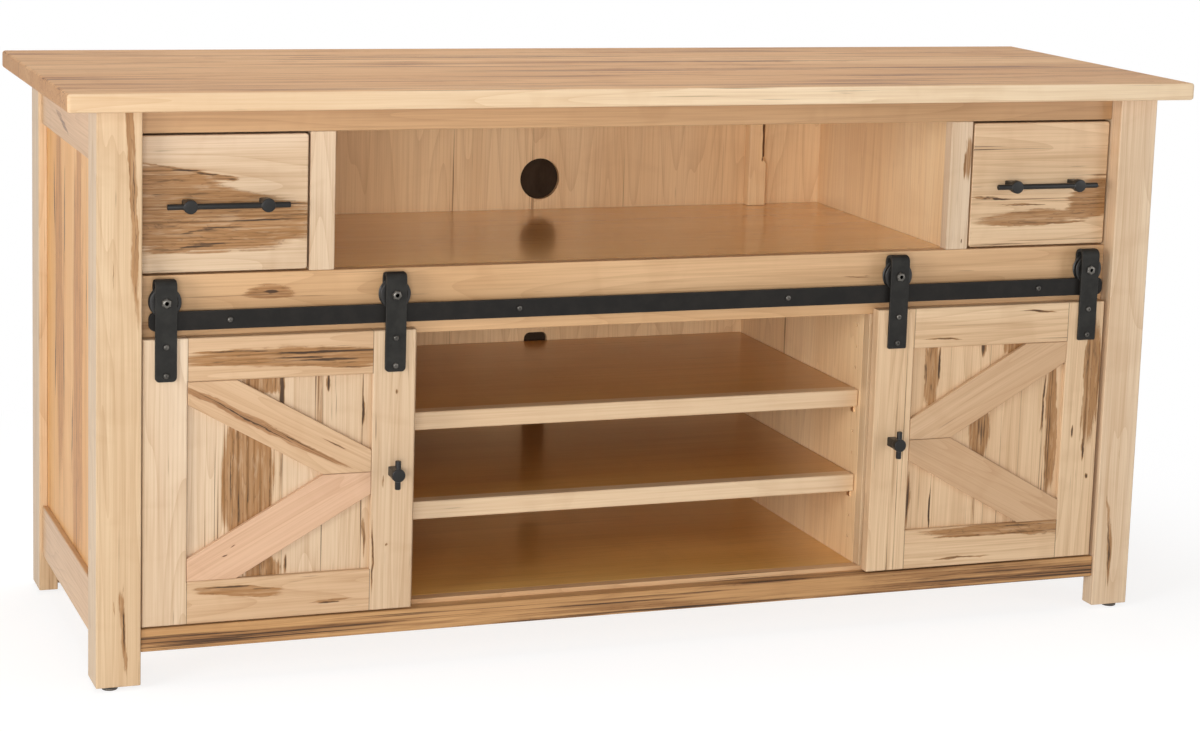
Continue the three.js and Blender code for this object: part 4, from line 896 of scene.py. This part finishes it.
def make_batten(name, material):
    """The upright board in the open bay, whose front right edge is the rough outside of the tree"""
    low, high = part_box(name)
    rows, bevel, usual_width = 90, 0.0008, 0.031
    loops = []
    for i in range(rows + 1):
        share = i / rows
        z = low.z + (high.z - low.z) * share
        slow, quick = noise.noise(Vector((0.0, 3.1, z * 14.0))), noise.noise(Vector((0.0, 7.7, z * 55.0)))
        shape = slow * 0.6 + quick * 0.25
        bare = min(max((share - 0.3) / 0.04, 0.0), 1.0)
        wane = (0.0022 + bare * (0.0068 + 0.0035 * shape)) * (high.x - low.x) / usual_width
        front = Vector((high.x - wane, low.y, z))
        side = Vector((high.x, low.y + (high.y - low.y) * (0.1 + 0.6 * bare), z))
        bark = []
        for k in (1, 2, 3):
            dent = noise.noise(Vector((k * 0.37, 1.3, z * 90.0))) * 0.0009 * bare
            bark.append(front.lerp(side, k / 4) + Vector((-abs(dent), 0.0, 0.0)))
        loops.append([
            Vector((low.x, high.y, z)), Vector((low.x, low.y + bevel, z)), Vector((low.x + bevel, low.y, z)),
            front, *bark, side, Vector((high.x, high.y, z)),
        ])
    bm = bmesh.new()
    rings(bm, loops)
    piece = settle(bm, name + "_fine", material)
    piece.data.materials.append(bark_edge())
    bark_start = low.z + 0.34 * (high.z - low.z)
    for face in piece.data.polygons:
        if face.center.z > bark_start and face.normal.x > 0.25 and face.normal.y < -0.25:
            face.material_index = 1
    adopt(piece, "carcass", "stile_wood", name)


def make_glide(name, material):
    """A round glide with a shouldered rim under a leg"""
    centre, low, high = middle(name)
    radius, height = (high.x - low.x) / 2, high.z - low.z
    edge, foot, neck = 0.0012, radius - 0.003, radius * 0.86
    profile = [(foot, 0.0)]
    profile += [(radius - edge + px, edge - py) for px, py in reversed(arc((0, 0), edge, 0, 1, 5))]
    profile += [(radius, height * 0.62), (neck, height * 0.74), (neck, height)]
    bm = bmesh.new()
    lathe(bm, profile, Matrix.Translation((centre.x, centre.y, low.z)), 48)
    adopt(settle(bm, name + "_fine", material), "carcass", "glide_plastic", name)


def make_screw(settings, material):
    """A button head with a hex socket, pointing at -Y, to be repeated"""
    steps, flat, half_flat = 36, math.pi / 3, math.pi / 6
    angles = [math.tau * i / steps for i in range(steps)]
    dome = ((1.0, 0.0), (1.0, 0.35), (0.95, 0.62), (0.84, 0.84), (0.68, 0.97), (0.55, 1.0))
    loops = [
        [Vector((radius * math.cos(a), -place, radius * math.sin(a))) for a in angles]
        for radius, place in ((settings.radius * share, settings.height * rise) for share, rise in dome)
    ]
    reach = [settings.socket * math.cos(half_flat) / math.cos((a % flat) - half_flat) for a in angles]
    for depth in (settings.height, settings.height - settings.depth):
        loops.append([Vector((r * math.cos(a), -depth, r * math.sin(a))) for r, a in zip(reach, angles)])
    bm = bmesh.new()
    rings(bm, loops)
    return settle(bm, "screw_pattern", material)


def make_head(settings, material):
    """The domed hex head of an axle bolt, pointing at -Y, to be repeated"""
    tall, wide = settings.head_height, settings.head_radius
    bm = bmesh.new()
    turned = Matrix.Rotation(math.pi / 2, 4, "X")
    lathe(bm, [(wide, 0.0), (wide, tall * 0.55), (wide * 0.86, tall * 0.8)], turned, 6)
    dome = ((0.8, 0.7), (0.76, 0.86), (0.62, 0.97), (0.42, 1.0), (0.34, 0.8))
    lathe(bm, [(wide * share, tall * rise) for share, rise in dome], turned, 32)
    return settle(bm, "head_pattern", material)


def scatter_tree():
    """Geometry nodes that put one screw on each point, each with a turn of its own"""
    tree = bpy.data.node_groups.new("screws_on_points", "GeometryNodeTree")
    face = tree.interface
    face.new_socket(name="Geometry", in_out="INPUT", socket_type="NodeSocketGeometry")
    face.new_socket(name="Screw", in_out="INPUT", socket_type="NodeSocketObject")
    face.new_socket(name="Material", in_out="INPUT", socket_type="NodeSocketMaterial")
    face.new_socket(name="Seed", in_out="INPUT", socket_type="NodeSocketInt")
    face.new_socket(name="Geometry", in_out="OUTPUT", socket_type="NodeSocketGeometry")
    source = tree.nodes.new("NodeGroupInput").outputs
    pattern = put(tree, "GeometryNodeObjectInfo", {"Object": source["Screw"]}, transform_space="ORIGINAL")
    values = {"Min": (0.0, 0.0, 0.0), "Max": (0.0, math.tau, 0.0), "Seed": source["Seed"]}
    turn = put(tree, "FunctionNodeRandomValue", values, data_type="FLOAT_VECTOR")
    values = {
        "Points": source["Geometry"], "Instance": pattern.outputs["Geometry"],
        "Rotation": turn.outputs["Value"],
    }
    spread = put(tree, "GeometryNodeInstanceOnPoints", values).outputs[0]
    real = put(tree, "GeometryNodeRealizeInstances", {"Geometry": spread}).outputs[0]
    painted = put(tree, "GeometryNodeSetMaterial", {"Geometry": real, "Material": source["Material"]})
    put(tree, "NodeGroupOutput", {"Geometry": painted.outputs[0]})
    return tree


def scatter_screws(name, points, tree, screw, material, seed, body):
    """Screws on points as one plain mesh that rides on a body"""
    mesh = bpy.data.meshes.new(name + "_points")
    mesh.from_pydata(points, [], [])
    carrier = show(name + "_points", mesh)
    modifier = carrier.modifiers.new("Screws", "NODES")
    modifier.node_group = tree
    keys = {item.name: item.identifier for item in tree.interface.items_tree if item.in_out == "INPUT"}
    for key, value in (("Screw", screw), ("Material", material), ("Seed", seed)):
        modifier[keys[key]] = value
    bpy.context.view_layer.update()
    evaluated = carrier.evaluated_get(bpy.context.evaluated_depsgraph_get())
    made = bpy.data.meshes.new_from_object(evaluated)
    made.name = name
    bpy.data.objects.remove(carrier)
    adopt(show(name, made), body, "black_steel")


# ------------------------------------------------------------------ operators
class CONSOLE_OT_wood(bpy.types.Operator):
    """Give each wooden piece its lacquered maple"""

    bl_idname = "console.wood"
    bl_label = "Finish the wood"

    def execute(self, context):
        grain_group()
        for node, finish in finishes().items():
            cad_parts[node].data.materials[0] = wood(node, **finish)
        make_batten("back_batten", bpy.data.materials["finish_back_batten"])
        return {"FINISHED"}


# Tones of the front leg, of the door and of its rails, and how much darker its right stile is
DOOR_TONES = {"left": ("pale", "door", "brace", 0.9), "right": ("blond", "warm", "warm", 0.0)}


def finishes():
    """How each wooden node is finished"""
    shelf = dict(tone="shelf", grain="x", level=0.74, rings=0.12, gloss=0.3, coat=0.4, shine=0.5)
    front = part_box("shelf_upper")[0].y + STRIP
    table = {
        "top": dict(
            tone="top", grain="x", seed=1.0, level=0.57, rings=0.3, strands=2.3,
            shine=0.12, coat=0.0, gloss=0.5,
            planks=("Y", 0.112, -0.31), edging=(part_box("top")[0].y + 0.003, "edge", 0.4),
        ),
        # Apron tone: partly painted shade of the top's overhang
        "apron_rail": dict(tone="apron", grain="x", seed=2.0, level=0.74),
        "middle_rail": dict(tone="honey", grain="x", seed=3.0, level=0.74),
        "sill_rail": dict(tone="honey", grain="x", seed=4.0, level=0.66),
        "plinth_rail": dict(tone="brown", grain="x", seed=5.0, level=0.5, strands=1.8),
        "back_panel": dict(tone="inner", grain="z", seed=6.0, level=0.69, rings=0.3),
        "back_batten": dict(tone="lining_and_painted_light", grain="z", seed=7.0, level=0.74),
        "middle_deck": shelf | dict(tone="deck", seed=8.0, level=0.85, rings=0.1, gloss=0.24, coat=0.8),
        "bottom_deck": shelf | dict(tone="deck", seed=9.0, level=0.85, rings=0.1),
        "shelf_upper": shelf | dict(seed=10.0, edging=(front, "rim", 0.0)),
        "shelf_lower": shelf | dict(seed=11.0, edging=(front, "rim", 0.0)),
    }
    for index, side in enumerate(DOORS):
        seed = 20.0 + 13.0 * index
        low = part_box(f"door_{side}_frame")[0]
        panel_low, panel_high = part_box(f"door_{side}_panel")
        joints = (panel_low.x + TONGUE, panel_high.x - TONGUE, panel_low.z + TONGUE, panel_high.z - TONGUE)
        leg_tone, tone, rail_tone, deeper = DOOR_TONES[side]
        joints += (rail_tone, deeper)
        table |= {
            f"leg_front_{side}": dict(tone=leg_tone, grain="z", seed=seed, level=0.72),
            f"leg_back_{side}": dict(tone="pale", grain="z", seed=seed + 1, level=0.68),
            f"side_panel_{side}": dict(
                tone="heart", grain="z", seed=seed + 2, level=0.66, shine=0.15, coat=0.0,
                planks=("Y", 0.12, -0.19),
            ),
            f"side_rail_top_{side}": dict(tone="honey", grain="y", seed=seed + 3, level=0.72),
            f"side_rail_bottom_{side}": dict(tone="honey", grain="y", seed=seed + 4, level=0.7),
            f"end_stile_{side}": dict(tone="pale", grain="z", seed=seed + 5, level=0.72),
            f"drawer_stile_{side}": dict(tone="door", grain="z", seed=seed + 6, level=0.74),
            f"shelf_stile_{side}": dict(tone="pale", grain="z", seed=seed + 7, level=0.7),
            f"upper_divider_{side}": dict(tone="lining_and_painted_light", grain="z", seed=seed + 8, level=0.76),
            f"lower_divider_{side}": dict(
                tone="inner", grain="z", seed=seed + 9, level=0.76, pin_reach=PIN_REACH,
            ),
            f"drawer_{side}_front": dict(tone=tone, grain="x", seed=seed + 10, level=0.7, strands=1.6),
            f"drawer_{side}_box": dict(tone="cream", grain="x", seed=seed + 11, level=0.8),
            f"door_{side}_frame": dict(
                tone=tone, grain="z", seed=seed + 12, level=0.72, joints=joints, strands=1.6,
            ),
            f"door_{side}_panel": dict(
                tone=tone, grain="z", seed=seed + 14, level=0.66, strands=1.6, planks=("X", 0.085, low.x),
            ),
        }
        for brace in ("upper", "lower"):
            upward = (brace == "upper") == (side == "right")
            turn = (0.0, BRACE_ANGLE * (1 if upward else -1), 0.0)
            tone = "pink" if (side, brace) == ("left", "lower") else "brace"
            table[f"door_{side}_brace_{brace}"] = dict(
                tone=tone, grain="x", turn=turn, seed=seed + 15 + upward, level=0.76,
            )
    return table


class CONSOLE_OT_track(bpy.types.Operator):
    """Make the flat track with its standoffs"""

    bl_idname = "console.track"
    bl_label = "Make the track"

    def execute(self, context):
        make_track(context.scene.console_track, bpy.data.materials["track_steel"])
        return {"FINISHED"}


class CONSOLE_OT_hangers(bpy.types.Operator):
    """Make the four strap hangers"""

    bl_idname = "console.hangers"
    bl_label = "Make the hangers"

    def execute(self, context):
        settings, coated = context.scene.console_strap, bpy.data.materials["coated_steel"]
        for side, corner in zip(DOORS, (settings.left_corner, settings.right_corner)):
            for end in ENDS:
                make_hanger(f"door_{side}_hanger_{end}", settings, coated, corner)
        return {"FINISHED"}


class CONSOLE_OT_wheels(bpy.types.Operator):
    """Make the four grooved wheels"""

    bl_idname = "console.wheels"
    bl_label = "Make the wheels"

    def execute(self, context):
        settings, turned = context.scene.console_wheel, bpy.data.materials["wheel_steel"]
        for side in DOORS:
            for end in ENDS:
                make_wheel(f"door_{side}_wheel_{end}", settings, turned)
        return {"FINISHED"}


class CONSOLE_OT_pulls(bpy.types.Operator):
    """Make the drawers' bar pulls and the doors' bar knobs"""

    bl_idname = "console.pulls"
    bl_label = "Make pulls and knobs"

    def execute(self, context):
        settings, forged = context.scene.console_pull, bpy.data.materials["pull_steel"]
        for side in DOORS:
            make_pull(f"drawer_{side}_pull", settings, forged, f"drawer_{side}", False)
            make_pull(f"door_{side}_knob", settings, forged, f"door_{side}", True)
        return {"FINISHED"}


class CONSOLE_OT_glides(bpy.types.Operator):
    """Make the glides under the legs"""

    bl_idname = "console.glides"
    bl_label = "Make the glides"

    def execute(self, context):
        material = moulded_plastic()
        for side in DOORS:
            for row in ("front", "back"):
                make_glide(f"glide_{row}_{side}", material)
        return {"FINISHED"}


class CONSOLE_OT_screws(bpy.types.Operator):
    """Put socket screws on the hangers and the track"""

    bl_idname = "console.screws"
    bl_label = "Put in the screws"

    def execute(self, context):
        settings = context.scene.console_screw
        bright = bpy.data.materials["bright_steel"]
        screw, tree = make_screw(settings, bright), scatter_tree()
        strap = context.scene.console_strap
        head = make_head(strap, bright)
        for side in DOORS:
            points, axles = [], []
            for end in ENDS:
                centre, low, _ = middle(f"door_{side}_hanger_{end}")
                face = low.y + strap.head_height
                points += [(centre.x, face, low.z + above) for above in (settings.upper, settings.lower)]
                axles.append((centre.x, face, middle(f"door_{side}_wheel_{end}")[0].z))
            body = f"door_{side}"
            scatter_screws(body + "_hanger_screws", points, tree, screw, bright, settings.seed, body)
            scatter_screws(body + "_axle_heads", axles, tree, head, bright, settings.seed + 2, body)
        track = context.scene.console_track
        height, front = middle("track")[0].z, track_axis() - track.thick / 2
        points = [(x, front, height) for x in bolt_places(track)]
        scatter_screws("track_bolts", points, tree, screw, bright, settings.seed + 1, "carcass")
        for pattern in (screw, head):
            bpy.data.objects.remove(pattern)
        return {"FINISHED"}


class CONSOLE_OT_studio(bpy.types.Operator):
    """Set the camera, the lamps, the white floor and a dark card of painted shade behind the cable holes"""

    bl_idname = "console.studio"
    bl_label = "Set the studio"

    def execute(self, context):
        settings = context.scene.console_studio
        place_camera(context.scene, settings)
        place_lamps(context.scene, settings)
        place_floor(settings)
        place_painted_shade_card()
        return {"FINISHED"}


# Width of the camera's sensor in millimetres
SENSOR = 36.0


def place_camera(scene, settings):
    """The photograph's viewpoint"""
    data = bpy.data.cameras.new("camera")
    data.sensor_width = SENSOR
    data.lens = settings.lens
    data.shift_y = settings.rise
    camera = show("camera", data)
    right, forward, up = view_axes(settings)
    turn = Matrix((right, up, -forward)).transposed().to_4x4()
    camera.matrix_world = Matrix.Translation(settings.place) @ turn
    scene.camera = camera


def view_axes(settings):
    """Right, forward and up of the camera: pan about the vertical, then tilt, then roll"""
    base = (
        Matrix.Rotation(settings.roll, 3, "Y")
        @ Matrix.Rotation(settings.tilt, 3, "X")
        @ Matrix.Rotation(settings.pan, 3, "Z")
    )
    turned = base.transposed()
    return tuple(turned @ Vector(axis) for axis in ((1, 0, 0), (0, 1, 0), (0, 0, 1)))


# Place, point looked at, width and height of each lamp
LAMPS = {
    "key": ((-3.8, -2.1, 1.15), (0.0, 0.0, 0.5), 1.5, 1.5),
    "front": ((-1.7, -4.1, 0.9), (0.0, 0.0, 0.5), 1.8, 0.9),
    "fill": ((3.2, -3.2, 1.1), (0.0, 0.0, 0.5), 1.6, 1.6),
    "rear": ((1.0, 3.8, 0.42), (0.0, 0.0, 0.4), 2.2, 0.6),
    "over": ((-0.2, 0.2, 3.4), (0.0, 0.0, 0.8), 2.4, 1.6),
}
WHITE, FLOOR_GREY = (1.0, 1.0, 1.0, 1.0), (0.82, 0.82, 0.82, 1.0)


def lamp(name, place, aim, width, height, power):
    """A soft rectangular lamp that looks at a point"""
    data = bpy.data.lights.new(name, "AREA")
    data.shape = "RECTANGLE"
    data.size, data.size_y, data.energy = width, height, power
    turn = (Vector(aim) - Vector(place)).to_track_quat("-Z", "Y").to_matrix().to_4x4()
    show(name, data).matrix_world = Matrix.Translation(place) @ turn


def place_lamps(scene, settings):
    """Large soft lamps low on both sides, by the camera, behind and overhead, in an even white room"""
    for name, values in LAMPS.items():
        lamp(name, *values, getattr(settings, name))
    world = bpy.data.worlds.new("room")
    scene.world = world
    world.use_nodes = True
    tree = world.node_tree
    tree.nodes.clear()
    seen = seen_directly(tree)
    strength = plus(tree, settings.sky, times(tree, seen, 1.0 - settings.sky))
    background = put(tree, "ShaderNodeBackground", {"Color": WHITE, "Strength": strength})
    put(tree, "ShaderNodeOutputWorld", {"Surface": background.outputs[0]})


def seen_directly(tree):
    """1 for camera, glossy and transmission rays"""
    path = put(tree, "ShaderNodeLightPath").outputs
    total = plus(tree, path["Is Camera Ray"], path["Is Glossy Ray"])
    return plus(tree, total, path["Is Transmission Ray"], clamp=True)


def place_floor(settings):
    """A wide white floor, mostly even white to the eye, that keeps the soft shadow"""
    bm = bmesh.new()
    bmesh.ops.create_grid(bm, x_segments=1, y_segments=1, size=40.0)
    material, tree, place = new_material("floor_white")
    # The console stands within a flat ellipse in which the real shading is strongest
    away = vectors(tree, "LENGTH", vectors(tree, "MULTIPLY", place, (0.8, 1.0, 0.0)), output="Value")
    near = minus(tree, 1.0, ramp(tree, away, 0.7, 1.5))
    real = times(tree, near, settings.floor_shade)
    evened = minus(tree, 1.0, times(tree, real, settings.floor_light))
    strength = maths(tree, "DIVIDE", evened, minus(tree, 1.0, real))
    plain = put(tree, "ShaderNodeBsdfDiffuse", {"Color": FLOOR_GREY})
    white = put(tree, "ShaderNodeEmission", {"Color": WHITE, "Strength": strength})
    part = times(tree, seen_directly(tree), minus(tree, 1.0, real))
    mixed = put(tree, "ShaderNodeMixShader", {0: part, 1: plain.outputs[0], 2: white.outputs[0]})
    put(tree, "ShaderNodeOutputMaterial", {"Surface": mixed.outputs[0]})
    settle(bm, "floor", material)


def place_painted_shade_card():
    """A dark card of painted shade just behind the back panel, which shows only through its round hole and
    its slot
    """
    behind, margin = 0.0012, 0.0015
    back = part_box("back_panel")[1].y + behind
    bm = bmesh.new()
    x, z, radius = HOLE
    disc = [(x + px, z + pz) for px, pz in rounded(radius + margin, radius + margin, radius + margin, 16)]
    left, right, low, high = (edge + way * margin for edge, way in zip(SLOT, (-1, 1, -1, 1)))
    for points in (disc, [(left, low), (right, low), (right, high), (left, high)]):
        face = bm.faces.new([bm.verts.new((x, back, z)) for x, z in points])
        face.normal_update()
        if face.normal.y > 0:
            face.normal_flip()
    mesh = bpy.data.meshes.new("dark_gap")
    bm.to_mesh(mesh)
    bm.free()
    material, tree, place = new_material("dark_room")
    # Painted shade: dark mottled browns where there is only shadow behind the console
    cloud = speckle(tree, place, (60.0, 60.0, 25.0), 3.0, 0.6)
    colour = blend(tree, cloud, linear(40, 30, 22), linear(76, 62, 50))
    dark = put(tree, "ShaderNodeBsdfDiffuse", {"Color": colour})
    clear = put(tree, "ShaderNodeBsdfTransparent")
    from_behind = put(tree, "ShaderNodeNewGeometry").outputs["Backfacing"]
    mixed = put(tree, "ShaderNodeMixShader", {0: from_behind, 1: dark.outputs[0], 2: clear.outputs[0]})
    put(tree, "ShaderNodeOutputMaterial", {"Surface": mixed.outputs[0]})
    mesh.materials.append(material)
    show("dark_gap", mesh)


class CONSOLE_PT_panel(bpy.types.Panel):
    """Buttons and settings of the dressing"""

    bl_label = "Media Console"
    bl_idname = "CONSOLE_PT_panel"
    bl_space_type = "VIEW_3D"
    bl_region_type = "UI"
    bl_category = "Console"

    def draw(self, context):
        for operator in OPERATORS:
            self.layout.operator(operator.bl_idname)
        for name, group in SETTINGS.items():
            box = self.layout.box()
            box.label(text=group.__doc__)
            for key in group.__annotations__:
                box.prop(getattr(context.scene, name), key)


SETTINGS = {
    "console_strap": StrapSettings,
    "console_wheel": WheelSettings,
    "console_pull": PullSettings,
    "console_track": TrackSettings,
    "console_screw": ScrewSettings,
    "console_studio": StudioSettings,
}
OPERATORS = (
    CONSOLE_OT_wood,
    CONSOLE_OT_track,
    CONSOLE_OT_hangers,
    CONSOLE_OT_wheels,
    CONSOLE_OT_pulls,
    CONSOLE_OT_glides,
    CONSOLE_OT_screws,
    CONSOLE_OT_studio,
)


def register():
    """Registers the settings, the operators and the panel"""
    for group in SETTINGS.values():
        bpy.utils.register_class(group)
    for name, group in SETTINGS.items():
        setattr(bpy.types.Scene, name, PointerProperty(type=group))
    for operator in OPERATORS + (CONSOLE_PT_panel,):
        bpy.utils.register_class(operator)


def unregister():
    """Takes them off again"""
    for operator in reversed(OPERATORS + (CONSOLE_PT_panel,)):
        bpy.utils.unregister_class(operator)
    for name, group in SETTINGS.items():
        delattr(bpy.types.Scene, name)
        bpy.utils.unregister_class(group)


def main():
    """Builds everything in order"""
    register()
    bpy.context.scene.view_settings.view_transform = "Standard"
    for name, values in STEELS.items():
        steel(name, *values)
    for operator in OPERATORS:
        group, name = operator.bl_idname.split(".")
        getattr(getattr(bpy.ops, group), name)()
    bpy.context.view_layer.update()


if __name__ == "__main__":
    main()
